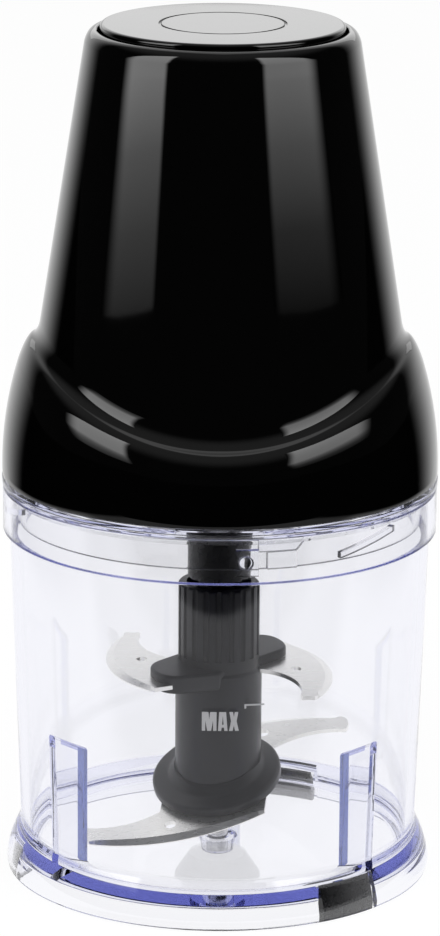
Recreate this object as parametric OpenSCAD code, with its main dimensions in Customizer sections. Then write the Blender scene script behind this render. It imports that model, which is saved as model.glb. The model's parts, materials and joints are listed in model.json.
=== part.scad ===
// Electric food chopper: a gloss black motor unit standing on a clear bowl,
// with a clear bayonet lid between them and a two-level blade on a steel pin.
// Millimetres, +Z up. The origin is on the table under the middle of the bowl.
// The front faces -Y. Angles round the bowl count from the front towards +X.

/* [Bowl] */
// Height of the mouth of the bowl above the table
bowl_h = 111.2; // [106:0.2:118]
// Outer diameter of the collar round the mouth; bowl, lid and motor unit follow it
collar_d = 120.2; // [114:0.2:132]
// Wall of the collar
collar_wall = 2.2; // [1.8:0.1:2.6]
// Depth of the collar inside, from the mouth to the step
collar_depth = 10.2; // [9.6:0.1:13]
// Height of the slope under the collar outside
collar_slope_h = 4; // [3:0.5:6]
// How far the collar stands out from the wall under it
collar_out = 1.9; // [1.5:0.1:2.2]
// How far the wall leans inwards on its way down to the flare
wall_taper = 2.8; // [2:0.1:3.6]
// Wall of the bowl
bowl_wall = 2.3; // [1.9:0.1:2.8]
// How far the flared foot stands out from the wall above it
flare_out = 4.2; // [3.8:0.1:5]
// Height at which the flare meets the wall
flare_h = 13.7; // [12.6:0.1:17]
// Wall of the flare
flare_wall = 2.4; // [1.8:0.1:2.8]
// Gap between the flare's edge and the table
flare_gap = 0.6; // [0.3:0.1:1]
// Height of the bowl's floor inside
floor_z = 7.5; // [7:0.1:9]
// Thickness of the floor
floor_t = 1.7; // [1.6:0.1:3.2]
// Thickness of each fin at its inner edge
fin_t = 2.8; // [1.6:0.1:3.2]
// Thickness of each fin where it meets the wall
fin_root_t = 5; // [3.2:0.1:6]
// Height of a fin's inner edge above the floor
fin_h = 32.5; // [20:0.5:40]
// Rise of a fin's top towards the wall
fin_rise = 5.5; // [0:0.5:8]
// Depth of a fin, from the foot of the wall inwards
fin_depth = 13.5; // [9:0.1:13.8]
// Angle of the first fin from the front
fin_az = 54; // [45:1:65]
// Number of fins, feet and bayonet places round the bowl
thirds = 3; // [3:1:3]

/* [Feet] */
// Width of a rubber foot
foot_w = 17; // [12:0.5:20]
// Height of a rubber foot
foot_h = 10; // [8:0.2:11]
// Angle of the first foot from the front
foot_az = 38.4; // [34:0.2:42]
// Depth of a foot, from the edge of the flare inwards
foot_depth = 4.2; // [3.2:0.1:4.4]

/* [Bayonet] */
// Thickness of a ledge inside the collar
ledge_t = 2; // [1.5:0.1:2.4]
// Reach of a ledge inwards from the collar
ledge_reach = 1.8; // [1.4:0.1:2]
// Height of a ledge's underside above the step in the collar
ledge_rise = 4.3; // [4:0.1:4.6]
// Angle at which the first ledge starts
ledge_az = 10.7; // [9:0.1:12]
// Length of a ledge round the collar, in degrees
ledge_span = 10.9; // [9:0.1:12]
// Turn from the set-down place to the locked place, in degrees
lock_turn = 12; // [11:0.5:13]
// Length of a lug round the lid, in degrees
lug_span = 8; // [6:0.5:9]
// Thickness of a lug
lug_t = 2.7; // [2:0.1:3]

/* [Lid] */
// Thickness of the lid's rim, between bowl and motor unit
lid_rim_t = 2.6; // [2.2:0.1:3.4]
// How far the lid's rim stands out over the collar
lid_over = 0.2; // [0:0.1:1]
// Thickness of the lid's panel
lid_t = 2; // [1.6:0.1:2.4]
// Diameter of the hole for the drive hub
lid_hole_d = 25.6; // [24.8:0.2:30]
// Wall of the lid's skirt inside the collar
spigot_wall = 1.8; // [1.4:0.1:2.4]
// Diameter of the studs that key the motor unit
stud_d = 5; // [4:0.2:6]
// Height of the studs above the lid's panel
stud_h = 4; // [3:0.2:5]
// Distance of the studs from the lid's edge
stud_in = 20.3; // [17:0.1:22]

/* [Motor housing] */
// Height of the housing from its lower edge to the rim round the button
housing_h = 123.6; // [121:0.2:130]
// How much smaller the cone's radius is at the rim than the skirt's
cone_in = 23.3; // [22:0.1:23.6]
// Slope of the cone's side
cone_draft = 8.93; // [8.5:0.05:9.4]
// Wall of the housing
housing_wall = 2.4; // [2:0.1:2.8]
// Radius of the long curve up the skirt's side
skirt_curve_r = 100; // [90:1:115]
// Mean height of the valley between skirt and cone
saddle_h = 30.2; // [28:0.2:32]
// Rise of the valley at the sides and its drop at front and back
saddle_dip = 9; // [6:0.2:9.6]
// Slope of the ledge at the foot of the cone
ledge_slope = 30; // [20:1:38]
// Rounding of the rim at the top of the cone
rim_round = 3.4; // [2:0.1:4]
// Diameter of the cord inlet at the back
inlet_d = 10; // [8:0.2:11]
// Bore of the cord inlet
inlet_bore_d = 6.4; // [5:0.1:7]
// Height of the cord inlet above the housing's edge
inlet_h = 9.4; // [9:0.1:10.5]

/* [Button] */
// Width of the rim round the button
rim_w = 3; // [2.6:0.1:3.6]
// Gap between the rim and the button
button_gap = 0.7; // [0.5:0.1:1]
// Thickness of the button's top
button_t = 2.6; // [2:0.1:3.2]
// Height of the button above the rim
button_proud = 1.6; // [1:0.1:2]
// Travel of the button
button_travel = 3.5; // [2.5:0.1:4]
// Radius of the ring groove on the button
groove_r = 17; // [12:0.5:22]
// Width of the ring groove
groove_w = 0.8; // [0.5:0.1:1.2]

/* [Drive] */
// Teeth of the sun gear on the motor shaft
sun_teeth = 12; // [12:1:12]
// Teeth of each planet gear
planet_teeth = 18; // [18:1:18]
// Number of planet gears
planets = 3; // [3:1:3]
// Tooth size: pitch diameter for each tooth
gear_module = 1; // [0.96:0.01:1.04]
// Length of the gear teeth
gear_t = 7; // [6:0.5:8]
// Gap left between meshing tooth flanks, on each gear
tooth_thin = 0.12; // [0.1:0.01:0.16]
// Diameter of the motor shaft
shaft_d = 5; // [4.4:0.1:5.4]
// Diameter of the pins that carry the planet gears
planet_pin_d = 4; // [3.6:0.1:4.4]
// Diameter of the output shaft in its bush
output_d = 10; // [9:0.1:11]
// Diameter of the drive hub
hub_d = 17.6; // [17:0.1:17.8]
// Length of the hub's dogs inside the spindle
dog_l = 20; // [14:0.5:21]
// Width of a dog and of a rib, in degrees
dog_span = 20; // [16:1:24]
// Radius of the hub's core between the dogs
dog_core_r = 5.6; // [5:0.1:6]

/* [Motor] */
// Height of the stator's stack of plates
stator_h = 28; // [24:1:32]
// Length of the stator across its poles
stator_l = 58; // [54:0.5:60]
// Width of the stator
stator_w = 48; // [47:0.5:52]
// Bore of the stator
stator_bore = 34; // [33.6:0.1:35]
// Air gap between rotor and stator
air_gap = 0.6; // [0.4:0.05:0.8]
// Number of slots in the rotor
rotor_slots = 12; // [8:1:14]
// Diameter of the commutator
commutator_d = 17; // [15:0.5:19]
// Diameter of the cooling fan
fan_d = 44; // [38:1:45]
// Number of fan blades
fan_blades = 11; // [7:1:15]

/* [Blades] */
// Diameter of the spindle's smooth column
spindle_d = 24.2; // [23.6:0.1:25]
// Diameter of the fluted head
spindle_head_d = 22.8; // [22.4:0.1:24.4]
// Number of flutes round the head
flutes = 20; // [12:1:24]
// Radius of a flute
flute_r = 0.9; // [0.5:0.1:1.2]
// Height of the spindle's top above the table
spindle_top = 82.4; // [80:0.2:84]
// Diameter of the steel pin in the bowl
bowl_pin_d = 6; // [5:0.1:7]
// Height of the steel pin's tip above the table
bowl_pin_top = 56; // [50:0.5:58]
// Thickness of the blades
blade_t = 1.2; // [1:0.1:1.6]
// Height of the upper blade at the axis
upper_z = 57.6; // [54:0.2:59]
// Rise of the upper blade towards the back, for each unit of length
upper_rise = 0.1; // [0:0.01:0.14]
// Height of the lower blade at the axis
lower_z = 23.8; // [23.4:0.1:28]
// Rise of the lower blade towards the back
lower_rise_y = 0.325; // [0.2:0.005:0.33]
// Rise of the lower blade towards the right
lower_rise_x = 0.16; // [0:0.005:0.17]
// Gap between the tips of the lower blade and the fins
blade_gap = 2.1; // [1.8:0.1:5]
// Radius of the flange over the lower blade
flange_r = 18.2; // [16:0.2:20]
// Radius of the lobes over the upper blade
lobe_r = 20.6; // [19:0.2:21]

/* [Fits] */
// Gap between faces that rest on each other across a joint
seat_gap = 0.1; // [0.05:0.01:0.15]
// Radial clearance of a turning fit
run_clear = 0.06; // [0.04:0.01:0.08]
// Clearance round a part that slides or drops in
slide_clear = 0.3; // [0.25:0.05:0.5]

/* [Hidden] */
$fn = 96;

// Bowl, worked out
collar_r = collar_d / 2;
wall_top_r = collar_r - collar_out;
wall_bottom_r = wall_top_r - wall_taper;
base_r = wall_bottom_r + flare_out;
fin_r = wall_bottom_r - fin_depth;
foot_r = base_r - foot_depth;
collar_in_r = collar_r - collar_wall;
step_z = bowl_h - collar_depth;
wall_top_z = step_z - 1 - collar_slope_h;
flare_round_z = 2.4;
flare_bow = 0.6;
floor_round = 3;
boss_r = 5;
boss_h = 1;
socket_r = 7;
socket_z = 1.6;
rim_edge = 0.6;
function wall_out(z) =
    wall_bottom_r + (wall_top_r - wall_bottom_r) * (z - flare_h) / (wall_top_z - flare_h);
function wall_in(z) = wall_out(z) - bowl_wall;

// Bayonet, worked out
ledge_z = step_z + ledge_rise;
ledge_r = collar_in_r - ledge_reach;
lead_span = 2.6;
lead_slope = 24;
lead_deep = 6;
stop_span = 5.4;
pip_r = 1.9;
wedge_az = ledge_az + 26.3;
wedge_span = 13;
wedge_h = 6.6;
wedge_slope = 20;

// Lid, worked out
lid_r = collar_r + lid_over;
stud_r = lid_r - stud_in;
lid_z = bowl_h + seat_gap;
lid_top = lid_z + lid_rim_t;
panel_top = lid_z + lid_t;
spigot_r = ledge_r - 0.5;
spigot_z = step_z + 0.8;
lug_r = collar_in_r - 0.4;
lug_top = ledge_z - slide_clear;
lug_az = ledge_az + (ledge_span - lug_span) / 2 + 0.6;
seal_t = 2.1;
lid_hole_r = lid_hole_d / 2;
plunger_post_r = 3.5;

// Motor unit, worked out
skirt_r = lid_r;
cone_top_r = skirt_r - cone_in;
skirt_z = lid_top + seat_gap;
rim_z = skirt_z + housing_h;
plate_z = skirt_z + 1;
plate_t = 2.8;
plate_top = plate_z + plate_t;
plate_r = skirt_r - housing_wall - 1;
screw_in = 14.3;
screw_r = skirt_r - screw_in;
screw_az = [30, 150, 270];
boss_pipe_r = 4.2;
boss_l = 12;
screw_d = 3.4;
cone_base_h = 46;
skirt_low = 2;
function cone_r(z) = cone_top_r + (rim_z - z) * tan(cone_draft);
function skirt_wall_r(h) = skirt_r - (skirt_curve_r - sqrt(pow(skirt_curve_r, 2)
    - pow(h - skirt_low, 2)));
function valley_h(az) = saddle_h - saddle_dip * cos(2 * az);

// Button, worked out
hole_r = cone_top_r - rim_w;
button_r = hole_r - button_gap;
shelf_z = rim_z - 8.6;
button_top = rim_z + button_proud;
button_under = button_top - button_t;
button_round = 1;
button_skirt_t = 2;
hook_top = shelf_z - seat_gap;
hook_h = 2;
hook_reach = 1.7;
groove_depth = 0.5;

// Gear train, worked out
ring_teeth = sun_teeth + 2 * planet_teeth;
pressure_angle = 25;
teeth_extra = 0.3;
addendum = 0.8 * gear_module;
dedendum = addendum + 0.2 * gear_module;
planet_orbit = (sun_teeth + planet_teeth) * gear_module / 2;
carrier_z = plate_top + 0.4;
carrier_t = 2.4;
carrier_r = planet_orbit + 4.6;
gear_z = carrier_z + carrier_t + 0.5;
gear_top = gear_z + gear_t;
ring_top = gear_top + 0.8;
ring_wall = 4.4;
ring_r = (ring_teeth * gear_module) / 2 + dedendum + ring_wall;
ring_screw_in = 1.8;
ring_screw_r = ring_r - ring_screw_in;
ring_screw_az = 60;
small_screw_r = 1;
small_head_r = 1.9;
small_head_h = 1.3;
through = 1;
cover_t = 2.6;
cover_top = ring_top + cover_t;
bearing_h = 6;
bearing_r = 6.5;
bearing_z = ring_top + 1;
output_r = output_d / 2;
bush_wall = 2.2;
bush_r = output_r + run_clear + bush_wall;
hub_r = hub_d / 2;
hub_boss_wall = 2;
hub_boss_r = bush_r + hub_boss_wall;
hub_boss_z = lid_z - 2.2;
hub_top = hub_boss_z - 0.8;
hub_collar_z = spindle_top + 1.2;
hub_z = hub_collar_z - 1.2 - dog_l;
seal_h = 1.6;

// Motor, worked out
shaft_r = shaft_d / 2;
fan_z = bearing_z + bearing_h + 2;
fan_disc_t = 1.4;
fan_h = 6.5;
coil_over = 5;
stator_z = fan_z + fan_h + 2 + coil_over;
stator_top = stator_z + stator_h;
stator_bore_r = stator_bore / 2;
rotor_r = stator_bore_r - air_gap;
coil_in = stator_bore_r + 1;
coil_w = 4.4;
slot_extra = 0.6;
coil_half = 42;
coil_side = 6;
post_x = 0;
post_y = 25.8;
post_r = 2.6;
commutator_z = stator_top + 7;
commutator_h = 11;
brush_z = commutator_z + commutator_h / 2;
brush_w = 5;
brush_h = 6;
brush_l = 11;
bracket_z = commutator_z + commutator_h + 2;
bracket_t = 3;
bracket_top = bracket_z + bracket_t;
upper_bearing_z = bracket_z + 1.2;
shaft_top = upper_bearing_z + bearing_h - 1;
plate2_z = upper_bearing_z + bearing_h + 2;
plate2_t = 2.4;
plate2_r = 29;
column_x = 22;
switch_l = 20;
switch_w = 11;
switch_z = plate2_z + plate2_t;
switch_h = 9;
plunger_r = 1.8;
plunger_tip = switch_z + switch_h + button_travel + 0.4;
spring_r = 15.5;
spring_wire = 1.4;
spring_turns = 5;

// Safety plunger, worked out
safety_in = 19.3;
safety_r = skirt_r - safety_in;
safety_rod_r = 2;
safety_travel = 2.5;
safety_spring_r = 3.4;
safety_wire = 0.7;
micro_w = 10;
micro_l = 7;
micro_z = plate_top + 9.5;

// Spindle, worked out
spindle_r = spindle_d / 2;
head_r = spindle_head_d / 2;
spindle_z = floor_z + boss_h + 4;
pin_bore_r = bowl_pin_d / 2 + run_clear;
pin_bore_top = bowl_pin_top + 0.8;
socket_bore_r = hub_r + 0.3;
socket_z0 = hub_z - 1;
lower_reach = fin_r - blade_gap;
lower_slope = sqrt(pow(lower_rise_x, 2) + pow(lower_rise_y, 2));
lower_tilt = atan(lower_slope);
flange_t = 3.2;
flange_cone_h = 6.4;
hole_r_upper = 1.5;
hole_r_lower = 1.6;

// Colours
c_clear = [0.86, 0.89, 0.96, 0.35];
c_black = [0.05, 0.05, 0.055];
c_grey = [0.27, 0.27, 0.29];
c_steel = [0.75, 0.75, 0.73];
c_copper = [0.72, 0.42, 0.24];
c_brass = [0.78, 0.62, 0.32];
c_nylon = [0.9, 0.88, 0.82];
c_rubber = [0.06, 0.06, 0.06];

// World angle of a place that is az degrees round from the front
function front(az) = az - 90;
function polar(r, a) = [r * cos(a), r * sin(a)];

// Points on an arc from a to b that bulges by s to the left of the way from a to b
function bow(a, b, s, n = 8) =
    let (c = norm(b - a), m = (a + b) / 2, u = (b - a) / c, v = [-u[1], u[0]],
         r = (pow(c / 2, 2) + s * s) / (2 * abs(s)), g = sign(s),
         o = m - v * g * (r - abs(s)),
         half = abs(s) > r ? 180 - asin(c / 2 / r) : asin(min(1, c / 2 / r)))
    [for (i = [0 : n]) let (t = -half + 2 * half * i / n) o + v * g * r * cos(t) + u * r * sin(t)];

// Points of a smooth corner at v, between p and q
function corner(p, v, q, n = 6) =
    [for (i = [0 : n]) let (t = i / n) pow(1 - t, 2) * p + 2 * t * (1 - t) * v + t * t * q];

// Ring between two radii and two heights, from angle a0 to angle a1
module sector(r0, r1, z0, z1, a0, a1) {
    rotate([0, 0, a0])
        rotate_extrude(angle = a1 - a0)
            translate([r0, z0]) square([r1 - r0, z1 - z0]);
}

// Pipe or rod on the axis
module pipe(r_out, r_in, z0, z1) {
    translate([0, 0, z0]) difference() {
        cylinder(r = r_out, h = z1 - z0);
        if (r_in > 0) translate([0, 0, -1]) cylinder(r = r_in, h = z1 - z0 + 2);
    }
}

// Copies of the children, evenly spaced round the axis
module around(n, first = 0) {
    for (i = [0 : n - 1]) rotate([0, 0, first + i * 360 / n]) children();
}

// Loops of points joined into one closed ring or tube
function loop_faces(rings, n, closed) =
    let (last = closed ? rings - 1 : rings - 2)
    concat(
        [for (i = [0 : last], j = [0 : n - 1])
            let (i2 = (i + 1) % rings, j2 = (j + 1) % n)
            [i * n + j, i * n + j2, i2 * n + j2, i2 * n + j]],
        closed ? [] : [[for (j = [n - 1 : -1 : 0]) j], [for (j = [0 : n - 1]) (rings - 1) * n + j]]);

// Wire wound into a spring with flat ends of half a turn
function spring_z(t, turns, h, wire) =
    wire / 2 + (h - wire) * (t < 0.5 ? 0 : t > turns - 0.5 ? 1 : (t - 0.5) / (turns - 1));
module spring(r, wire, turns, h, rings = 10, sides = 6) {
    n = turns * rings;
    pts = [for (i = [0 : n], j = [0 : sides - 1])
        let (t = i / rings, a = 360 * t, b = 360 * j / sides,
             rr = r + wire / 2 * cos(b), z = spring_z(t, turns, h, wire) + wire / 2 * sin(b))
        [rr * cos(a), rr * sin(a), z]];
    polyhedron(points = pts, faces = loop_faces(n + 1, sides, false));
}
echo(button_spring_gap = (button_under - switch_z - spring_wire) / (spring_turns - 1) - spring_wire);

// Clear bowl: flared foot, tapered wall, collar with bayonet ledges, three fins
function flare_curve(inset) =
    bow([base_r - inset, flare_round_z], [wall_out(flare_h) - inset, flare_h], -flare_bow, 5);
bowl_outline = concat(
    [[base_r - 0.4, flare_gap]],
    flare_curve(0),
    [[wall_top_r, wall_top_z], [collar_r, wall_top_z + collar_slope_h],
     [collar_r, bowl_h - rim_edge], [collar_r - rim_edge, bowl_h], [collar_in_r, bowl_h],
     [collar_in_r, wall_top_z + collar_slope_h], [wall_top_r - bowl_wall, wall_top_z]],
    corner([wall_in(floor_z + floor_round), floor_z + floor_round], [wall_in(floor_z), floor_z],
           [wall_in(floor_z) - floor_round, floor_z]),
    [[0, floor_z], [0, floor_z - floor_t], [base_r - 1 - flare_wall, floor_z - floor_t],
     [base_r - 0.4 - flare_wall, flare_gap]]);

module fin() {
    fin_top = floor_z + fin_h;
    out = wall_in(fin_top) + 1;
    intersection() {
        rotate([90, 0, 0]) translate([0, 0, -fin_root_t]) linear_extrude(2 * fin_root_t)
            polygon([[fin_r, floor_z - 0.5], [wall_in(floor_z) + 1, floor_z - 0.5],
                     [out, fin_top + fin_rise], [fin_r, fin_top]]);
        linear_extrude(2 * fin_top)
            polygon([[fin_r - 1, -fin_t / 2], [fin_r, -fin_t / 2], [out, -fin_root_t / 2],
                     [out, fin_root_t / 2], [fin_r, fin_t / 2], [fin_r - 1, fin_t / 2]]);
    }
}

// Stop, ledge with a slanted mouth, and a sloping rib that guides the lug up to it
module bayonet_place() {
    a = front(ledge_az);
    long = ledge_span + lead_span;
    difference() {
        sector(ledge_r, collar_in_r + 0.5, step_z - 0.5, ledge_z + ledge_t, a - stop_span, a + long);
        sector(ledge_r - 1, collar_in_r + 1, step_z - 1, ledge_z, a, a + long + 1);
        rotate([0, 0, a + ledge_span]) translate([0, 0, ledge_z]) rotate([lead_slope, 0, 0])
            translate([ledge_r - through, 0, -lead_deep]) cube([5, 10, lead_deep]);
    }
    rotate([0, 0, a - stop_span / 2]) translate([ledge_r - 0.5, 0, step_z + 3])
        rotate([0, 90, 0]) cylinder(r = pip_r, h = 2, $fn = 32);
    rotate([0, 0, front(wedge_az) + wedge_span / 2]) intersection() {
        sector(ledge_r + 0.3, collar_in_r + 0.5, step_z, bowl_h - 1, -wedge_span / 2,
               wedge_span / 2);
        translate([0, 0, step_z + wedge_h / 2]) rotate([wedge_slope, 0, 0])
            translate([ledge_r - 2, -20, -0.8]) cube([8, 40, 1.6]);
    }
}

module foot_pocket() {
    play = slide_clear / 3;
    translate([foot_r - play, -foot_w / 2 - play, -through])
        cube([2 * foot_depth + 2, foot_w + 2 * play, foot_h + through + play]);
}

module bowl() {
    color(c_clear) difference() {
        union() {
            rotate_extrude() polygon(bowl_outline);
            around(thirds, front(fin_az)) fin();
            around(thirds) bayonet_place();
            translate([0, 0, floor_z - 1]) cylinder(r = boss_r, h = boss_h + 1);
            translate([0, 0, socket_z]) cylinder(r = socket_r, h = floor_z - floor_t - socket_z + 0.5);
        }
        translate([0, 0, socket_z + 1]) cylinder(d = bowl_pin_d, h = floor_z + boss_h);
        around(thirds, front(foot_az)) foot_pocket();
    }
}

module bowl_pin() {
    tip = 1.2;
    color(c_steel) rotate_extrude()
        polygon([[0, socket_z + 1], [bowl_pin_d / 2, socket_z + 1],
                 [bowl_pin_d / 2, bowl_pin_top - tip], [bowl_pin_d / 2 - tip, bowl_pin_top],
                 [0, bowl_pin_top]]);
}

// One foot fills its pocket, follows the flare and stands a little below it
module foot() {
    skin = 0.4;
    intersection() {
        rotate_extrude() polygon(concat(
            [[foot_r - 3, 0], [base_r - 1, 0], [base_r - skin, 0.6]],
            [for (p = flare_curve(skin)) if (p[1] < foot_h) p],
            [[wall_out(flare_h) + 1.6, foot_h], [foot_r - 3, foot_h]]));
        translate([foot_r, -foot_w / 2, -through])
            cube([3 * foot_depth, foot_w, foot_h + 2 * through]);
    }
}
module rubber_feet() { color(c_rubber) around(thirds, front(foot_az)) foot(); }

// Clear lid: rim on the bowl, skirt with lugs, panel with a hole for the hub
module lid() {
    rim_bead = 0.8;
    lip = 2;
    color(c_clear) difference() {
        union() {
            rotate_extrude() polygon(concat(
                [[lid_hole_r, lid_z - lip], [lid_hole_r + lip, lid_z - lip],
                 [lid_hole_r + lip, lid_z], [spigot_r - spigot_wall, lid_z],
                 [spigot_r - spigot_wall, spigot_z], [spigot_r, spigot_z], [spigot_r, lid_z],
                 [lid_r - rim_bead, lid_z]],
                bow([lid_r - rim_bead, lid_z], [lid_r - rim_bead, lid_top], -rim_bead, 6),
                [[spigot_r - 3, lid_top], [spigot_r - 3, panel_top], [lid_hole_r, panel_top]]));
            around(thirds, front(lug_az))
                sector(spigot_r - 0.3, lug_r, lug_top - lug_t, lug_top, 0, lug_span);
            for (s = [0, 180]) rotate([0, 0, s]) translate([stud_r, 0, lid_z])
                cylinder(d = stud_d, h = lid_t + stud_h);
            translate([0, safety_r, lid_z]) cylinder(r = plunger_post_r, h = lid_rim_t);
        }
    }
}

module lid_seal() {
    lip_r = 0.5;
    seal_in = spigot_r + 0.05;
    seal_out = collar_in_r - slide_clear;
    color(c_nylon) rotate_extrude()
        polygon([[seal_in, lid_z - seal_t], [seal_out - lip_r, lid_z - seal_t],
                 [seal_out, lid_z - seal_t / 2], [seal_out - lip_r, lid_z - 0.05],
                 [seal_in, lid_z - 0.05]]);
}

// Outline of the skirt at one angle, from its lower edge up to the cone
function skirt_outline(az) =
    let (v_h = valley_h(az), v = [cone_r(skirt_z + v_h), v_h],
         out = (skirt_wall_r(v_h) - v[0]) * 0.99,
         c = [v[0] + out, v_h - out * tan(ledge_slope)],
         c_r = skirt_wall_r(c[1]), cc = [c_r, c[1]], mid = (v + cc) / 2,
         low = c[1] - 6, step = (low - skirt_low) / 3)
    concat([[skirt_r - 0.6, 0], [skirt_r - 0.1, 0.6]],
           [for (i = [0 : 2]) let (h = skirt_low + step * i) [skirt_wall_r(h), h]],
           corner([skirt_wall_r(low), low], cc, mid, 5),
           [for (p = corner(mid, v, [cone_r(skirt_z + v_h + 4), v_h + 4], 5)) if (p != mid) p],
           [[cone_r(skirt_z + cone_base_h) - 0.05, cone_base_h]]);

// The same outline moved inwards by the wall, as fewer points
function inward(p, d) = [for (i = [0 : len(p) - 1])
    let (a = p[max(0, i - 1)], b = p[min(len(p) - 1, i + 1)], t = (b - a) / norm(b - a))
    p[i] + d * [-t[1], t[0]]];
function skirt_inner(az) =
    let (q = inward(skirt_outline(az), housing_wall), top = len(q) - 1)
    concat([[cone_r(skirt_z + cone_base_h) - housing_wall + 0.05, cone_base_h]],
           [for (i = [top - 2 : -3 : 4]) q[i]],
           [[skirt_r - housing_wall - 0.1, skirt_low], [skirt_r - housing_wall - 0.1, 0]]);

module skirt_loft(n = 90) {
    loop = [for (i = [0 : n - 1]) let (az = 360 * i / n)
        concat(skirt_outline(az), skirt_inner(az))];
    m = len(loop[0]);
    pts = [for (i = [0 : n - 1], p = loop[i])
        let (a = front(360 * i / n)) [p[0] * cos(a), p[0] * sin(a), skirt_z + p[1]]];
    polyhedron(points = pts, faces = loop_faces(n, m, true));
}

// Gloss black housing: saddle-edged skirt and cone in one moulding
module motor_housing() {
    cone_z = skirt_z + cone_base_h - 0.4;
    top_in = cone_r(shelf_z) - housing_wall;
    color(c_black) difference() {
        union() {
            skirt_loft();
            rotate_extrude() polygon(concat(
                [[cone_r(cone_z) - housing_wall, cone_z], [cone_r(cone_z), cone_z]],
                corner([cone_r(rim_z - rim_round), rim_z - rim_round],
                       [cone_r(rim_z) - 0.4, rim_z], [cone_r(rim_z) - rim_round + 1, rim_z]),
                [[hole_r + 0.4, rim_z], [hole_r, rim_z - 0.4], [hole_r, shelf_z], [top_in, shelf_z]]));
            for (a = screw_az) rotate([0, 0, a]) {
                translate([screw_r, 0, plate_top]) cylinder(r = boss_pipe_r, h = boss_l, $fn = 32);
                translate([screw_r, -1, plate_top]) cube([skirt_r - screw_r - 2, 2, boss_l - 1]);
            }
        }
        for (a = screw_az) rotate([0, 0, a]) translate([screw_r, 0, plate_top - 1])
            cylinder(d = screw_d, h = boss_l - 1, $fn = 32);
        translate([0, skirt_r - 8, skirt_z + inlet_h]) rotate([-90, 0, 0])
            cylinder(d = inlet_d, h = 12);
    }
}

module cord_inlet() {
    inlet_out = skirt_r - 0.5;
    color(c_rubber) translate([0, 0, skirt_z + inlet_h]) rotate([-90, 0, 0]) difference() {
        union() {
            translate([0, 0, inlet_out - 6]) cylinder(d = inlet_d, h = 6);
            translate([0, 0, inlet_out - 6]) cylinder(d = inlet_d + 3, h = 2);
        }
        translate([0, 0, inlet_out - 7]) cylinder(d = inlet_bore_d, h = 8);
    }
}

// Round plate that closes the motor unit from below
module base_plate() {
    head_r = 3.4;
    color(c_black) difference() {
        union() {
            pipe(plate_r, 0, plate_z, plate_top);
            pipe(hub_boss_r, 0, hub_boss_z, plate_z);
            for (s = [-1, 1])
                translate([s * (micro_w / 2 + 1.5) - 1.5, safety_r - micro_l / 2, plate_top - 0.5])
                    cube([3, micro_l, micro_z - plate_top + 6.5]);
        }
        translate([0, 0, hub_boss_z - 1]) cylinder(r = bush_r, h = plate_top);
        for (a = screw_az) rotate([0, 0, a]) translate([screw_r, 0, plate_z - 1]) {
            cylinder(d = screw_d + 0.4, h = plate_t + 2, $fn = 32);
            cylinder(r = head_r, h = 2.4, $fn = 32);
        }
        for (s = [0, 180]) rotate([0, 0, s]) translate([stud_r, 0, plate_z - 1])
            cylinder(d = stud_d + 2 * slide_clear, h = plate_t + 2);
        translate([0, safety_r, plate_z - 1])
            cylinder(r = safety_rod_r + 0.3, h = plate_t + 2, $fn = 48);
        around(3, ring_screw_az) translate([ring_screw_r, 0, plate_z - through])
            cylinder(r = small_screw_r, h = plate_t + 2 * through, $fn = 32);
        translate([0, skirt_r - 5.5, skirt_z + inlet_h]) rotate([-90, 0, 0])
            translate([0, 0, -6]) cylinder(d = inlet_d + 4, h = 12);
    }
}

// Screw with a pan head, pointing up from z0
module screw_up(r, head_r, z0, l) {
    translate([0, 0, z0]) {
        cylinder(r = head_r, h = 1.4, $fn = 32);
        cylinder(r = r, h = l, $fn = 32);
    }
}
module base_screws() {
    color(c_steel) for (a = screw_az) rotate([0, 0, a]) translate([screw_r, 0, 0])
        screw_up(screw_d / 2, 3.1, plate_z, plate_t + boss_l - 3);
}

module output_bush() {
    color(c_brass) pipe(bush_r, output_r + run_clear, hub_boss_z + seal_h, plate_top);
}
module shaft_seal() {
    color(c_rubber) pipe(bush_r, output_r + run_clear, hub_boss_z, hub_boss_z + seal_h);
}

// Involute tooth: half its angle at radius r
function inv(a) = tan(a) * 180 / PI - a;
function tooth_half(n, r, thin) =
    let (rp = n * gear_module / 2, rb = rp * cos(pressure_angle), rr = max(r, rb))
    (PI / (2 * n) - thin / (2 * rp)) * 180 / PI + inv(pressure_angle) - inv(acos(rb / rr));
function gear_points(n, root, tip, thin, phase) =
    let (rb = n * gear_module / 2 * cos(pressure_angle), r1 = max(root, rb),
         radii = [root, (r1 * 2 + tip) / 3, (r1 + tip * 2) / 3, tip])
    [for (i = [0 : n - 1]) let (c = phase + 360 * i / n)
        each concat([for (r = radii) polar(r, c - tooth_half(n, r, thin))],
                    [for (k = [3 : -1 : 0]) polar(radii[k], c + tooth_half(n, radii[k], thin))])];

// Angle at which a planet at place a has a gap facing the sun's tooth
function planet_phase(a) =
    let (u = a * sun_teeth / 360) a + 180 - (0.5 - u) * 360 / planet_teeth;
// Angle of the ring's tooth gaps, from the first planet
ring_phase = planet_phase(0) * planet_teeth / ring_teeth;

module sun_gear() {
    rp = sun_teeth * gear_module / 2;
    color(c_steel) translate([0, 0, gear_z]) difference() {
        linear_extrude(gear_t) polygon(gear_points(sun_teeth, rp - dedendum, rp + addendum,
                                                   tooth_thin, 0));
        translate([0, 0, -1]) cylinder(r = shaft_r, h = gear_t + 2, $fn = 48);
    }
}

module planet_gear(i) {
    a = i * 360 / planets;
    rp = planet_teeth * gear_module / 2;
    color(c_nylon) translate([planet_orbit * cos(a), planet_orbit * sin(a), gear_z]) difference() {
        linear_extrude(gear_t) polygon(gear_points(planet_teeth, rp - dedendum, rp + addendum,
                                                   tooth_thin, planet_phase(a)));
        translate([0, 0, -1])
            cylinder(r = planet_pin_d / 2 + run_clear, h = gear_t + 2, $fn = 48);
    }
}

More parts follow.
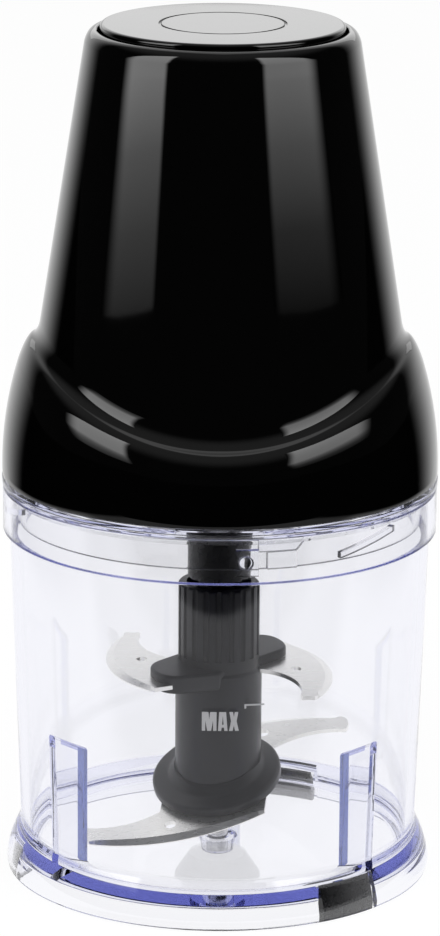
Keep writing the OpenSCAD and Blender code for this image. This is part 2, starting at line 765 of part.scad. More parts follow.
module ring_gear() {
    rp = ring_teeth * gear_module / 2;
    color(c_nylon) difference() {
        pipe(ring_r, carrier_r + 0.6, plate_top, ring_top);
        translate([0, 0, gear_z - teeth_extra]) linear_extrude(gear_t + 3 * through)
            polygon(gear_points(ring_teeth, rp - addendum, rp + dedendum, -tooth_thin,
                                ring_phase));
        around(3, ring_screw_az) translate([ring_screw_r, 0, plate_top - through])
            cylinder(r = small_screw_r, h = ring_top, $fn = 32);
    }
}

module gear_cover() {
    color(c_black) difference() {
        union() {
            pipe(ring_r, 0, ring_top, cover_top);
            pipe(bearing_r + 2, 0, cover_top - 0.5, bearing_z + bearing_h);
            for (s = [-1, 1]) translate([post_x, s * post_y, cover_top - 0.5])
                cylinder(r = post_r + 0.4, h = stator_z - cover_top + 0.5, $fn = 48);
        }
        translate([0, 0, bearing_z]) cylinder(r = bearing_r, h = 20);
        translate([0, 0, ring_top - 1]) cylinder(r = shaft_r + 0.6, h = 20, $fn = 48);
        around(3, ring_screw_az) translate([ring_screw_r, 0, ring_top - through])
            cylinder(r = small_screw_r, h = cover_t + 2 * through, $fn = 32);
        for (s = [-1, 1]) translate([post_x, s * post_y, stator_z - 8])
            cylinder(r = 1.2, h = 10, $fn = 32);
    }
}

module gearbox_screws() {
    color(c_steel) around(3, ring_screw_az) translate([ring_screw_r, 0, 0]) {
        translate([0, 0, plate_z + 0.4])
            cylinder(r = small_screw_r, h = cover_top - plate_z - 0.4, $fn = 32);
        translate([0, 0, cover_top]) cylinder(r = small_head_r, h = small_head_h, $fn = 32);
    }
}

module bearing(z0, h) {
    color(c_brass) pipe(bearing_r, shaft_r + run_clear, z0, z0 + h);
}
module lower_bearing() { bearing(bearing_z, bearing_h); }
module upper_bearing() { bearing(upper_bearing_z, bearing_h); }

// Laminated stator with two poles and room for the coils
module stator_core() {
    corner_r = 34;
    color(c_grey) translate([0, 0, stator_z]) linear_extrude(stator_h) difference() {
        intersection() {
            square([stator_w, stator_l], center = true);
            circle(r = corner_r);
        }
        circle(r = stator_bore_r);
        for (s = [0, 180], t = [-1, 1]) rotate(s + 90 + t * coil_half) coil_slot();
        for (s = [-1, 1]) translate([post_x, s * post_y]) circle(r = 1.3, $fn = 32);
    }
}
module coil_slot() {
    half = coil_side / 2 + 1;
    r1 = coil_in + coil_w + slot_extra;
    intersection() {
        difference() {
            circle(r = r1);
            circle(r = stator_bore_r - 1);
        }
        polygon([[0, 0], polar(2 * r1, -half * 1.6), polar(2 * r1, half * 1.6)]);
    }
}

module field_coils() {
    half = coil_half + coil_side / 2;
    window = coil_half - coil_side / 2;
    z0 = stator_z - coil_over + 0.3;
    z1 = stator_top + coil_over - 0.3;
    color(c_copper) for (s = [90, 270]) difference() {
        sector(coil_in, coil_in + coil_w, z0, z1, s - half, s + half);
        sector(coil_in - 1, coil_in + coil_w + 1, stator_z - 0.4, stator_top + 0.4,
               s - window, s + window);
    }
}

// Top frame of the motor: bearing seat, two posts and two brush blocks
module motor_bracket() {
    block_in = commutator_d / 2 + 3;
    block_w = brush_w + 4;
    color(c_black) difference() {
        union() {
            pipe(plate2_r, 0, bracket_z, bracket_top);
            pipe(bearing_r + 2, 0, bracket_top - 0.5, upper_bearing_z + bearing_h);
            for (s = [-1, 1]) {
                translate([post_x, s * post_y, stator_top])
                    cylinder(r = post_r, h = bracket_z - stator_top + 0.5, $fn = 48);
                translate([s * column_x, 0, bracket_top - 0.5])
                    cylinder(r = 3, h = plate2_z - bracket_top + 0.5, $fn = 48);
                translate([s * (block_in + brush_l / 2) - brush_l / 2, -block_w / 2,
                           brush_z - brush_h / 2 - 2])
                    cube([brush_l, block_w, bracket_z - brush_z + brush_h / 2 + 2.5]);
            }
        }
        translate([0, 0, upper_bearing_z]) cylinder(r = bearing_r, h = 20);
        translate([0, 0, bracket_z - 1]) cylinder(r = shaft_r + 0.6, h = 20, $fn = 48);
        for (s = [-1, 1]) {
            translate([s * (block_in + brush_l / 2) - brush_l, -brush_w / 2 - 0.5,
                       brush_z - brush_h / 2 - 0.5])
                cube([brush_l * 2, brush_w + 1, brush_h + 1]);
            translate([post_x, s * post_y, stator_top - 1])
                cylinder(r = 1.3, h = bracket_top, $fn = 32);
            translate([s * column_x, 0, plate2_z - 5]) cylinder(r = 1, h = 8, $fn = 32);
        }
    }
}

module motor_screws() {
    color(c_steel) for (s = [-1, 1]) translate([post_x, s * post_y, 0]) {
        translate([0, 0, stator_z - 7]) cylinder(r = 1.2, h = bracket_top - stator_z + 7, $fn = 32);
        translate([0, 0, bracket_top]) cylinder(r = 2.3, h = 1.6, $fn = 32);
    }
}

// Brass tubes in the brush blocks, with the carbon brushes inside them
module brush_box(l, w, h, x0) {
    translate([x0, -w / 2, brush_z - h / 2]) cube([l, w, h]);
}
module brush_holders() {
    x0 = commutator_d / 2 + 2;
    color(c_brass) for (s = [0, 180]) rotate([0, 0, s]) difference() {
        brush_box(brush_l + 2, brush_w + 1, brush_h + 1, x0);
        brush_box(brush_l + 0.8, brush_w + 0.1, brush_h + 0.1, x0 - 0.1);
    }
}
module carbon_brushes() {
    x0 = commutator_d / 2 + 0.1;
    color(c_rubber) for (s = [0, 180]) rotate([0, 0, s]) difference() {
        brush_box(brush_l, brush_w, brush_h, x0 - 0.6);
        translate([0, 0, brush_z - brush_h]) cylinder(r = x0, h = brush_h * 2);
    }
}

// Plate over the motor that carries the start switch and the button's spring
module switch_plate() {
    color(c_black) difference() {
        pipe(plate2_r, 0, plate2_z, switch_z);
        for (s = [-1, 1]) translate([s * column_x, 0, plate2_z - 1]) cylinder(r = 1, h = 5, $fn = 32);
    }
}
module switch_screws() {
    color(c_steel) for (s = [-1, 1]) translate([s * column_x, 0, 0]) {
        translate([0, 0, plate2_z - 4.5]) cylinder(r = 1, h = plate2_t + 4.5, $fn = 32);
        translate([0, 0, switch_z]) cylinder(r = small_head_r, h = small_head_h, $fn = 32);
    }
}
module start_switch() {
    color(c_grey) difference() {
        translate([-switch_l / 2, -switch_w / 2, switch_z]) cube([switch_l, switch_w, switch_h]);
        translate([0, 0, switch_z + 0.4]) cylinder(r = plunger_r + 0.1, h = switch_h, $fn = 48);
    }
}
module safety_switch() {
    color(c_grey) translate([0, safety_r, micro_z]) difference() {
        translate([-micro_w / 2, -micro_l / 2, 0]) cube([micro_w, micro_l, 8]);
        translate([0, 0, -1]) cylinder(r = safety_rod_r + 0.1, h = 5, $fn = 48);
    }
}

// Armature
module motor_shaft() {
    color(c_steel) pipe(shaft_r, 0, gear_z, shaft_top);
}
module cooling_fan() {
    hub = 6;
    color(c_nylon) difference() {
        union() {
            pipe(fan_d / 2, 0, fan_z, fan_z + fan_disc_t);
            pipe(hub, 0, fan_z, fan_z + fan_h);
            around(fan_blades) translate([hub - 0.5, -0.6, fan_z])
                cube([fan_d / 2 - hub - 0.6, 1.2, fan_h]);
        }
        translate([0, 0, fan_z - 1]) cylinder(r = shaft_r, h = fan_h + 2, $fn = 48);
    }
}
module rotor_core() {
    slot_r = 1.7;
    color(c_grey) difference() {
        pipe(rotor_r, shaft_r, stator_z, stator_top);
        around(rotor_slots) translate([rotor_r - slot_r - 0.8, 0, stator_z - 1]) {
            cylinder(r = slot_r, h = stator_h + 2, $fn = 24);
            translate([0, -0.6, 0]) cube([4, 1.2, stator_h + 2]);
        }
    }
}
module rotor_winding() {
    wind_in = 5.6;
    wind_out = rotor_r - 1.6;
    end_h = coil_over - 0.8;
    color(c_copper) for (z = [stator_z - end_h, stator_top])
        rotate_extrude() polygon([[wind_in, z], [wind_out, z], [wind_out, z + end_h], [wind_in, z + end_h]]);
}
module commutator() {
    bars = 12;
    color(c_copper) difference() {
        pipe(commutator_d / 2, shaft_r, commutator_z - 1, commutator_z + commutator_h);
        around(bars) translate([commutator_d / 2 - 0.7, -0.2, commutator_z - 2])
            cube([2, 0.4, commutator_h + 4]);
    }
}

// Output side of the gearbox
module gear_carrier() {
    color(c_grey) difference() {
        union() {
            pipe(carrier_r, 0, carrier_z, carrier_z + carrier_t);
            pipe(output_r, 0, hub_top, carrier_z + 0.5);
        }
        around(planets) translate([planet_orbit, 0, carrier_z - 1])
            cylinder(r = planet_pin_d / 2, h = carrier_t + 2, $fn = 48);
    }
}
module planet_pins() {
    color(c_steel) around(planets) translate([planet_orbit, 0, carrier_z])
        cylinder(r = planet_pin_d / 2, h = gear_top - carrier_z + 0.5, $fn = 48);
}
// Black hub with three dogs that drop between the ribs of the spindle
module drive_hub() {
    taper = 1.2;
    color(c_black) {
        rotate_extrude() polygon([[0, hub_z], [dog_core_r - 1, hub_z], [dog_core_r, hub_z + 1],
            [dog_core_r, hub_collar_z], [hub_r - 0.6, hub_collar_z], [hub_r, hub_collar_z + 0.6],
            [hub_r, hub_top - 0.6], [hub_r - 0.6, hub_top], [0, hub_top]]);
        around(3, -dog_span / 2) rotate_extrude(angle = dog_span)
            polygon([[dog_core_r - 0.5, hub_z + taper], [hub_r - taper, hub_z + taper],
                     [hub_r, hub_z + 2 * taper], [hub_r, hub_collar_z + 0.5],
                     [dog_core_r - 0.5, hub_collar_z + 0.5]]);
    }
}

// Round button that closes the top of the cone, with hooks under the shelf
module press_button() {
    stem_r = 4;
    skirt_end = hook_top - hook_h;
    in_r = button_r - button_skirt_t;
    color(c_black) difference() {
        union() {
            rotate_extrude() polygon(concat(
                [[0, button_top]],
                [[groove_r - groove_w / 2, button_top],
                 [groove_r - groove_w / 2, button_top - groove_depth],
                 [groove_r + groove_w / 2, button_top - groove_depth],
                 [groove_r + groove_w / 2, button_top]],
                corner([button_r - button_round, button_top], [button_r, button_top],
                       [button_r, button_top - button_round], 4),
                [[button_r, skirt_end], [in_r, skirt_end], [in_r, button_under],
                 [0, button_under]]));
            translate([0, 0, plunger_tip + seat_gap])
                cylinder(r = stem_r, h = button_under - plunger_tip);
            for (a = [30, 150, 270])
                sector(in_r, button_r + hook_reach, skirt_end, hook_top, a - 8, a + 8);
        }
        for (a = [30, 150, 270], s = [-10, 10]) rotate([0, 0, a + s])
            translate([in_r - 1, -0.6, skirt_end - 1]) cube([button_skirt_t + 4, 1.2, hook_h + 3]);
    }
}
module button_spring() {
    color(c_steel) translate([0, 0, switch_z])
        spring(spring_r, spring_wire, spring_turns, button_under - switch_z);
}
module switch_plunger() {
    color([0.75, 0.12, 0.1]) pipe(plunger_r, 0, switch_z + 0.4 + button_travel + 0.2, plunger_tip);
}

// Plunger that the lid's post pushes in when the motor unit is seated
module safety_plunger() {
    tip = lid_top + 0.05;
    flange_z = plate_top + 0.2;
    color(c_nylon) translate([0, safety_r, 0]) {
        pipe(safety_rod_r, 0, tip, micro_z - 0.5);
        pipe(safety_rod_r + 2.6, 0, flange_z, flange_z + 1);
    }
}
module safety_spring() {
    z0 = plate_top + 1.2;
    color(c_steel) translate([0, safety_r, z0])
        spring(safety_spring_r, safety_wire, 4, micro_z - z0, 8);
}

// Dark grey spindle: fluted head with a ribbed socket, smooth column, two flanges
// Two ears in the upper blade's plane: straight along the column, round at the end
lobe_arm = concat(
    [[0, -12.7]],
    corner([-9.5, -15.2], [-14.6, -16.5], [-17.4, -12.2]),
    corner([-17.4, -12.2], [-20.6, -7.4], [-17.2, -3.8]),
    [[-11.3, 1.5]]) * lobe_r / 20.6;
module lobes(z0, z1) {
    translate([0, 0, upper_z]) rotate([atan(upper_rise), 0, 0])
        translate([0, 0, z0]) linear_extrude(z1 - z0)
            polygon(concat(lobe_arm, -lobe_arm));
}
module tilt_lower() {
    translate([0, 0, lower_z])
        rotate(a = lower_tilt, v = [lower_rise_y, -lower_rise_x, 0]) children();
}
module spindle() {
    under = 1.2;
    rib_in = dog_core_r + 0.5;
    color(c_grey) difference() {
        union() {
            rotate_extrude() polygon([[0, spindle_z], [spindle_r - 4, spindle_z],
                [spindle_r, spindle_z + 6], [spindle_r, upper_z], [head_r, upper_z],
                [head_r, spindle_top - 0.8], [head_r - 0.8, spindle_top], [0, spindle_top]]);
            lobes(blade_t / 2, blade_t / 2 + 2.6);
            lobes(-blade_t / 2 - 1.6, blade_t / 2 + 0.1);
            tilt_lower() rotate_extrude() polygon([[0, blade_t / 2], [flange_r - 0.6, blade_t / 2],
                [flange_r, blade_t / 2 + 0.6], [flange_r, flange_t], [flange_r - 1, flange_t + 0.8],
                [spindle_r + 1.8, flange_t + 1.2], [spindle_r + 0.5, flange_t + 1.9],
                [spindle_r - 1, flange_cone_h], [0, flange_cone_h]]);
            tilt_lower() translate([0, 0, -blade_t / 2 - under]) cylinder(r = 9, h = blade_t + under);
        }
        around(flutes) translate([head_r + flute_r * 0.35, 0, upper_z + 4.2])
            cylinder(r = flute_r, h = spindle_top, $fn = 20);
        translate([0, 0, spindle_z - 1]) cylinder(r = pin_bore_r, h = pin_bore_top - spindle_z + 1);
        translate([0, 0, socket_z0]) difference() {
            cylinder(r = socket_bore_r, h = spindle_top);
            around(3, 60 - dog_span / 2)
                sector(rib_in, socket_bore_r + 1, 1.5, spindle_top - socket_z0 - 1.5, 0, dog_span);
        }
        translate([0, 0, upper_z]) rotate([atan(upper_rise), 0, 0])
            translate([0, 0, -blade_t / 2]) linear_extrude(blade_t) upper_outline();
        tilt_lower() translate([0, 0, -blade_t / 2]) linear_extrude(blade_t) lower_outline();
        translate([0, 0, -10]) cylinder(r = spindle_r * 2, h = spindle_z + 10);
    }
}

// Hooked arm of the upper blade, swept backwards
arm_scale = lower_reach / 39.8;
upper_arm = concat(
    [[4, 12]],
    bow([17.6, 17.4], [27.2, -21.4], 8.8, 9),
    bow([26.4, -22.2], [23.2, -22.2], -0.4, 3),
    bow([22.5, -21.4], [10, -3.2], -5, 7)) * arm_scale;
upper_hole = [21.6, -3] * arm_scale;
lower_hole = [13, 17.4] * arm_scale;
upper_relief = 3;
module upper_outline() {
    difference() {
        polygon([for (s = [1, -1], p = upper_arm) s * p]);
        for (s = [0, 180]) rotate(s) translate(upper_hole) circle(r = hole_r_upper, $fn = 32);
        circle(r = pin_bore_r + upper_relief);
    }
}
module upper_blade() {
    color(c_steel) translate([0, 0, upper_z]) rotate([atan(upper_rise), 0, 0])
        translate([0, 0, -blade_t / 2]) linear_extrude(blade_t) upper_outline();
}

// Long arm of the lower blade; plan points stretched up the slope of its plane
function on_slope(p) =
    let (g = [lower_rise_x, lower_rise_y] / lower_slope) p + (1 / cos(lower_tilt) - 1) * (p * g) * g;
lower_arm = concat(
    bow([-13, 17], [34.606, 19.659], 5.2, 10),
    bow([35.336, 18.316], [36.071, 14.82], 0.4, 3),
    bow([36.359, 13.588], [16, 11.2], -2.3, 6)) * arm_scale;
module lower_outline() {
    difference() {
        polygon([for (s = [1, -1], p = lower_arm) on_slope(s * p)]);
        for (s = [1, -1]) translate(on_slope(s * lower_hole)) circle(r = hole_r_lower, $fn = 32);
        circle(r = pin_bore_r + 1);
    }
}
module lower_blade() {
    color(c_steel) tilt_lower() translate([0, 0, -blade_t / 2]) linear_extrude(blade_t)
        lower_outline();
}

bowl();
bowl_pin();
rubber_feet();
lid();
lid_seal();
motor_housing();
base_plate();
base_screws();
cord_inlet();
output_bush();
shaft_seal();
ring_gear();
gear_cover();
gearbox_screws();
lower_bearing();
stator_core();
field_coils();
motor_bracket();
motor_screws();
upper_bearing();
brush_holders();
carbon_brushes();
switch_plate();
switch_screws();
start_switch();
safety_switch();
motor_shaft();
sun_gear();
cooling_fan();
rotor_core();
rotor_winding();
commutator();
gear_carrier();
planet_pins();
drive_hub();
planet_gear(0);  // planet_gear_1
planet_gear(1);  // planet_gear_2
planet_gear(2);  // planet_gear_3
press_button();
button_spring();
switch_plunger();
safety_plunger();
safety_spring();
spindle();
upper_blade();
lower_blade();
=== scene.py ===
# Electric food chopper, dressed for its portrait. Blender works in metres here, so every
# millimetre in this file goes through MM. +Z is up and the front faces -Y.
import json
import math
import bmesh
import bpy
from mathutils import Matrix, Vector


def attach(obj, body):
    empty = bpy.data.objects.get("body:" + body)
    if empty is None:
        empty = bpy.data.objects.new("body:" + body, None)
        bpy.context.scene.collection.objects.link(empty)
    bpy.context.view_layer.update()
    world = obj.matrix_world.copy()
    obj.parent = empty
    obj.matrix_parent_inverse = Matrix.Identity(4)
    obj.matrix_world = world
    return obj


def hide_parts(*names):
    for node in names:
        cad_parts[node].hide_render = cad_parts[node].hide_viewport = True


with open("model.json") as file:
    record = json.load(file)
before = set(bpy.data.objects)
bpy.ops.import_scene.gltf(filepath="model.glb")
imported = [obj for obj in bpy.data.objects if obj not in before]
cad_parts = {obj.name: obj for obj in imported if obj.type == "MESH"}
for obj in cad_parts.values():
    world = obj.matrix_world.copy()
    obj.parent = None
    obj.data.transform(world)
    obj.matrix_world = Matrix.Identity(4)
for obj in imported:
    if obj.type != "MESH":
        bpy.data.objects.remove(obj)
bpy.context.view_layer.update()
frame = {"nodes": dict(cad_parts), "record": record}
nodes = frame["nodes"]
scene = bpy.context.scene

MM = 0.001
ROUND = 192             # steps of a full turn on the big turned pieces
TURN = 2 * math.pi
# Radii on the bowl's fins: inner edge, bend in the top, and just short of the wall
FIN_IN, FIN_BEND, FIN_OUT = 44.4, 46.6, 52.6


# ---------------------------------------------------------------- working by hand, in code
def let_go():
    """Object mode, with nothing selected."""
    if bpy.context.object and bpy.context.object.mode != "OBJECT":
        bpy.ops.object.mode_set(mode="OBJECT")
    bpy.ops.object.select_all(action="DESELECT")


def take(obj, mode="OBJECT"):
    """Makes obj the only selected object, in that mode."""
    let_go()
    obj.select_set(True)
    bpy.context.view_layer.objects.active = obj
    bpy.ops.object.mode_set(mode=mode)
    return obj


def name(obj, label):
    obj.name = obj.data.name = label
    return obj


def outline(label, points, fill=False, flat=False):
    """One vertex, extruded from point to point in millimetres, upright in XZ or flat in XY, and
    closed by a last edge or filled with a face."""
    def spot(p):
        return Vector((p[0], p[1], 0) if flat else (p[0], 0, p[1])) * MM
    let_go()
    bpy.ops.mesh.primitive_plane_add(size=MM)
    obj = name(bpy.context.object, label)
    bpy.ops.object.mode_set(mode="EDIT")
    bpy.ops.mesh.select_mode(type="VERT")
    bpy.ops.mesh.select_all(action="SELECT")
    bpy.ops.mesh.merge(type="CENTER")
    here = spot(points[0])
    bpy.ops.transform.translate(value=here)
    for p in points[1:]:
        there = spot(p)
        bpy.ops.mesh.extrude_region_move(TRANSFORM_OT_translate={"value": there - here})
        here = there
    if fill:
        bpy.ops.mesh.select_all(action="SELECT")
        bpy.ops.mesh.edge_face_add()
    else:
        mesh = bmesh.from_edit_mesh(obj.data)
        mesh.verts.ensure_lookup_table()
        for v in mesh.verts:
            v.select = (v.co - spot(points[0])).length < 1e-7 or (v.co - here).length < 1e-7
        mesh.select_flush(True)
        bmesh.update_edit_mesh(obj.data)
        bpy.ops.mesh.edge_face_add()
    return obj


def tidy_mesh(obj):
    """Merges doubles and turns every face outwards."""
    take(obj, "EDIT")
    bpy.ops.mesh.select_all(action="SELECT")
    bpy.ops.mesh.remove_doubles(threshold=2e-6)
    bpy.ops.mesh.delete_loose(use_verts=True, use_edges=True, use_faces=False)
    bpy.ops.mesh.select_all(action="SELECT")
    bpy.ops.mesh.normals_make_consistent(inside=False)
    let_go()
    return obj


def spin(obj, steps=ROUND, angle=TURN):
    """Spins all that is in obj about the upright axis, from +X towards +Y."""
    take(obj, "EDIT")
    bpy.ops.mesh.select_all(action="SELECT")
    bpy.ops.mesh.spin(steps=steps, angle=-angle, center=(0, 0, 0), axis=(0, 0, 1),
                      use_auto_merge=angle > 6)
    return tidy_mesh(obj)


def turned(label, points, steps=ROUND):
    return spin(outline(label, points), steps)


def extruded(label, points, z0, z1):
    """A flat outline raised from z0 to z1."""
    obj = outline(label, points, fill=True, flat=True)
    bpy.ops.mesh.select_all(action="SELECT")
    bpy.ops.transform.translate(value=(0, 0, z0 * MM))
    bpy.ops.mesh.extrude_region_move(TRANSFORM_OT_translate={"value": (0, 0, (z1 - z0) * MM)})
    return tidy_mesh(obj)


def slab(label, points, y0, y1):
    """An upright outline extruded from y0 to y1; leaves it in edit mode, all selected."""
    obj = outline(label, points, fill=True)
    bpy.ops.mesh.select_all(action="SELECT")
    bpy.ops.transform.translate(value=(0, y0 * MM, 0))
    bpy.ops.mesh.extrude_region_move(TRANSFORM_OT_translate={"value": (0, (y1 - y0) * MM, 0)})
    bpy.ops.mesh.select_all(action="SELECT")
    return obj


def sector(label, r0, r1, z0, z1, a0, a1, steps=12):
    """Part of a ring, from world angle a0 to a1 in degrees."""
    obj = outline(label, [(r0, z0), (r1, z0), (r1, z1), (r0, z1)], fill=True)
    spin(obj, steps, math.radians(a1 - a0))
    return place(obj, Matrix.Rotation(math.radians(a0), 4, "Z"))


def rod(label, r, z0, z1, steps=48, r_top=None):
    points = [(0, z0), (r, z0), (r if r_top is None else r_top, z1), (0, z1)]
    return spin(outline(label, points), steps)


def place(obj, matrix):
    """Moves obj by a matrix and applies it, so that its place is in its mesh."""
    take(obj)
    obj.matrix_world = matrix @ obj.matrix_world
    bpy.context.view_layer.update()
    bpy.ops.object.transform_apply(location=True, rotation=True, scale=True)
    return obj


def shift(obj, x=0, y=0, z=0):
    return place(obj, Matrix.Translation(Vector((x, y, z)) * MM))


def copies(obj, angles):
    """Copies of obj turned about the axis, each with its own mesh; obj itself is used up."""
    out = []
    for i, a in enumerate(angles):
        c = obj.copy()
        c.data = obj.data.copy()
        scene.collection.objects.link(c)
        out.append(place(c, Matrix.Rotation(math.radians(a), 4, "Z")))
    drop(obj)
    return out


def join(label, parts):
    """Joins the parts into one object; the first gives it its place."""
    let_go()
    for p in parts:
        p.select_set(True)
    bpy.context.view_layer.objects.active = parts[0]
    bpy.ops.object.join()
    return name(bpy.context.object, label)


def settle(obj, kind, **settings):
    """Adds a modifier with its settings and applies it."""
    take(obj)
    m = obj.modifiers.new(kind.lower(), kind)
    for key, value in settings.items():
        setattr(m, key, value)
    bpy.ops.object.modifier_apply(modifier=m.name)
    return obj


def drop(obj):
    """Takes away an object that has been used up, with its mesh."""
    mesh = obj.data
    bpy.data.objects.remove(obj)
    bpy.data.meshes.remove(mesh)


def shape(obj, tool, how):
    """Boolean of obj with a tool, which is used up."""
    settle(obj, "BOOLEAN", object=tool, operation=how, solver="MANIFOLD")
    drop(tool)
    return obj


def soften(obj, width, angle=40, segments=2):
    """Small rounding on every edge sharper than the angle."""
    return settle(obj, "BEVEL", width=width * MM, segments=segments, limit_method="ANGLE",
                  angle_limit=math.radians(angle), use_clamp_overlap=True,
                  harden_normals=False)


def smooth(obj, angle=32):
    """Smooth shading up to that angle; the large faces set the normals, so that flats stay flat."""
    take(obj)
    bpy.ops.object.shade_smooth_by_angle(angle=math.radians(angle))
    return settle(obj, "WEIGHTED_NORMAL", mode="FACE_AREA", weight=50, keep_sharp=True)


# ---------------------------------------------------------------- curves of the outlines
def bow(a, b, s, n=8):
    """Points on an arc from a to b that bulges by s to the left of the way from a to b."""
    a, b = Vector(a), Vector(b)
    c = (b - a).length
    u = (b - a) / c
    v = Vector((-u[1], u[0]))
    r = ((c / 2) ** 2 + s * s) / (2 * abs(s))
    g = math.copysign(1, s)
    o = (a + b) / 2 - v * g * (r - abs(s))
    half = math.asin(min(1, c / 2 / r))
    if abs(s) > r:
        half = math.pi - half
    return [tuple(o + v * g * r * math.cos(t) + u * r * math.sin(t))
            for t in (-half + 2 * half * i / n for i in range(n + 1))]


def corner(p, v, q, n=6):
    """Points of a smooth corner at v, between p and q."""
    p, v, q = Vector(p), Vector(v), Vector(q)
    return [tuple((1 - t) ** 2 * p + 2 * t * (1 - t) * v + t * t * q)
            for t in (i / n for i in range(n + 1))]


def eased(points, n=5):
    """The outline with each corner that carries a third number rounded to that radius."""
    out = []
    for i, p in enumerate(points):
        if len(p) < 3:
            out.append(p)
            continue
        here = Vector(p[:2])
        u = (Vector(points[i - 1][:2]) - here).normalized()
        v = (Vector(points[(i + 1) % len(points)][:2]) - here).normalized()
        half = math.acos(max(-1, min(1, u.dot(v)))) / 2
        reach = p[2] / math.tan(half)
        middle = here + (u + v).normalized() * p[2] / math.sin(half)
        a, b = here + u * reach - middle, here + v * reach - middle
        swing = math.atan2(a[0] * b[1] - a[1] * b[0], a.dot(b))
        for k in range(n + 1):
            c, s = math.cos(swing * k / n), math.sin(swing * k / n)
            out.append(tuple(middle + Vector((a[0] * c - a[1] * s, a[0] * s + a[1] * c))))
    return out


def front(az):
    """World angle of a place az degrees round from the front, towards +X."""
    return az - 90


# ---------------------------------------------------------------- finishes
def colour(code):
    """sRGB hex as the linear colour that the sockets take."""
    parts = [int(code[i:i + 2], 16) / 255 for i in (1, 3, 5)]
    return tuple(c / 12.92 if c <= 0.04045 else ((c + 0.055) / 1.055) ** 2.4
                 for c in parts) + (1.0,)


def add(tree, kind, feeds=None, **settings):
    """Adds a shader node with its settings; feeds gives each socket a value or an output."""
    made = tree.nodes.new("ShaderNode" + kind)
    for key, value in settings.items():
        setattr(made, key, value)
    for key, value in (feeds or {}).items():
        if isinstance(value, bpy.types.NodeSocket):
            tree.links.new(value, made.inputs[key])
        else:
            made.inputs[key].default_value = value
    return made


def sums(tree, operation, *values):
    """The output of one Math node; each value is a number or an output."""
    return add(tree, "Math", dict(enumerate(values)), operation=operation).outputs[0]


def blank(label):
    mat = bpy.data.materials.new(label)
    mat.use_nodes = True
    mat.node_tree.nodes.clear()
    return mat, mat.node_tree


def finish(label, tint, grain_mm, stretch=(1, 1, 1), rough=0.4, rough_swing=0.08, tint_swing=0.1,
           bump=0.0, **sockets):
    """A finish with one grain: noise of that size in millimetres, stretched along the axes, moves
    the roughness and the tint a little and lifts the surface by bump millimetres."""
    mat, tree = blank(label)
    where = add(tree, "TexCoord").outputs["Object"]
    scale = add(tree, "Mapping", {"Vector": where, "Scale": stretch})
    grain = add(tree, "TexNoise", {"Vector": scale.outputs[0], "Scale": 1 / (grain_mm * MM),
                                   "Detail": 3.0, "Roughness": 0.55})
    level = add(tree, "MapRange", {"Value": grain.outputs["Fac"], "From Min": 0.3, "From Max": 0.7,
                                   "To Min": rough - rough_swing, "To Max": rough + rough_swing})
    base = colour(tint)
    dark = tuple(c * (1 - tint_swing) for c in base[:3]) + (1,)
    light = tuple(min(1, c * (1 + tint_swing)) for c in base[:3]) + (1,)
    shade = add(tree, "Mix", {0: grain.outputs["Fac"], 6: dark, 7: light}, data_type="RGBA")
    skin = add(tree, "BsdfPrincipled", {"Base Color": shade.outputs[2],
                                        "Roughness": level.outputs[0]})
    for key, value in sockets.items():
        skin.inputs[key.replace("_", " ")].default_value = value
    if bump:
        lift = add(tree, "Bump", {"Height": grain.outputs["Fac"], "Distance": bump * MM,
                                  "Strength": 1.0})
        tree.links.new(lift.outputs[0], skin.inputs["Normal"])
    add(tree, "OutputMaterial", {"Surface": skin.outputs[0]})
    return mat


# Injection-moulded ABS from a polished mould, near black: deep gloss, a slow waviness of the
# moulded skin about 14 mm long that bends straight reflections a little.
gloss_black = finish("gloss_black_moulded_abs", "#030303", 14, rough=0.035, rough_swing=0.012,
                     tint_swing=0.05, bump=0.004, IOR=1.52)
# The same ABS from a sparked mould: satin, with a fine grain of 0.5 mm.
satin_black = finish("satin_black_moulded_abs", "#161618", 0.5, rough=0.42, bump=0.012, IOR=1.52)
# Moulded polyacetal of the hub: smooth, half gloss.
hub_black = finish("black_moulded_acetal", "#101013", 3, rough=0.26, bump=0.003, IOR=1.48)
# Moulded polypropylene with mineral filler: dark grey, waxy half gloss.
spindle_grey = finish("dark_grey_moulded_polypropylene", "#0f0f17", 4, rough=0.34,
                      rough_swing=0.03, tint_swing=0.05, bump=0.002, IOR=1.49)
# Stainless sheet, belt ground and brushed fine: streaks 0.4 mm wide that run along the arms.
blade_steel = finish("belt_ground_stainless_sheet", "#faf9f5", 0.4, stretch=(0.03, 1, 1),
                     rough=0.28, rough_swing=0.01, tint_swing=0.01, bump=0.0002, Metallic=1.0)
# Stainless rod, centreless ground: fine rings round the axis.
pin_steel = finish("ground_stainless_rod", "#cfcfd0", 0.4, stretch=(0.2, 0.2, 3), rough=0.2,
                   rough_swing=0.06, bump=0.002, Metallic=1.0)
# Zinc-plated steel: dull silver with a faint cloud.
screw_steel = finish("zinc_plated_steel", "#b9bcc0", 1.2, rough=0.34, rough_swing=0.1,
                     bump=0.003, Metallic=1.0)
# Drawn spring wire: dark bright steel.
spring_steel = finish("drawn_spring_wire", "#8f9194", 0.6, rough=0.28, bump=0.002, Metallic=1.0)
# Electrical steel sheets of 0.5 mm, stacked along the shaft: the edges show as fine layers.
lamination_steel = finish("stacked_electrical_steel", "#5c5f64", 0.5, stretch=(0.05, 0.05, 2),
                          rough=0.45, rough_swing=0.15, tint_swing=0.35, bump=0.05, Metallic=1.0)
# Moulded thermoplastic rubber: black, nearly smooth where it is pressed in a polished mould.
foot_rubber = finish("black_moulded_rubber", "#060608", 1.5, rough=0.25, rough_swing=0.06,
                     bump=0.004, IOR=1.52)
# Nitrile rubber of seal and bush: matt black.
seal_rubber = finish("black_nitrile_rubber", "#121213", 0.8, rough=0.55, bump=0.01, IOR=1.5)
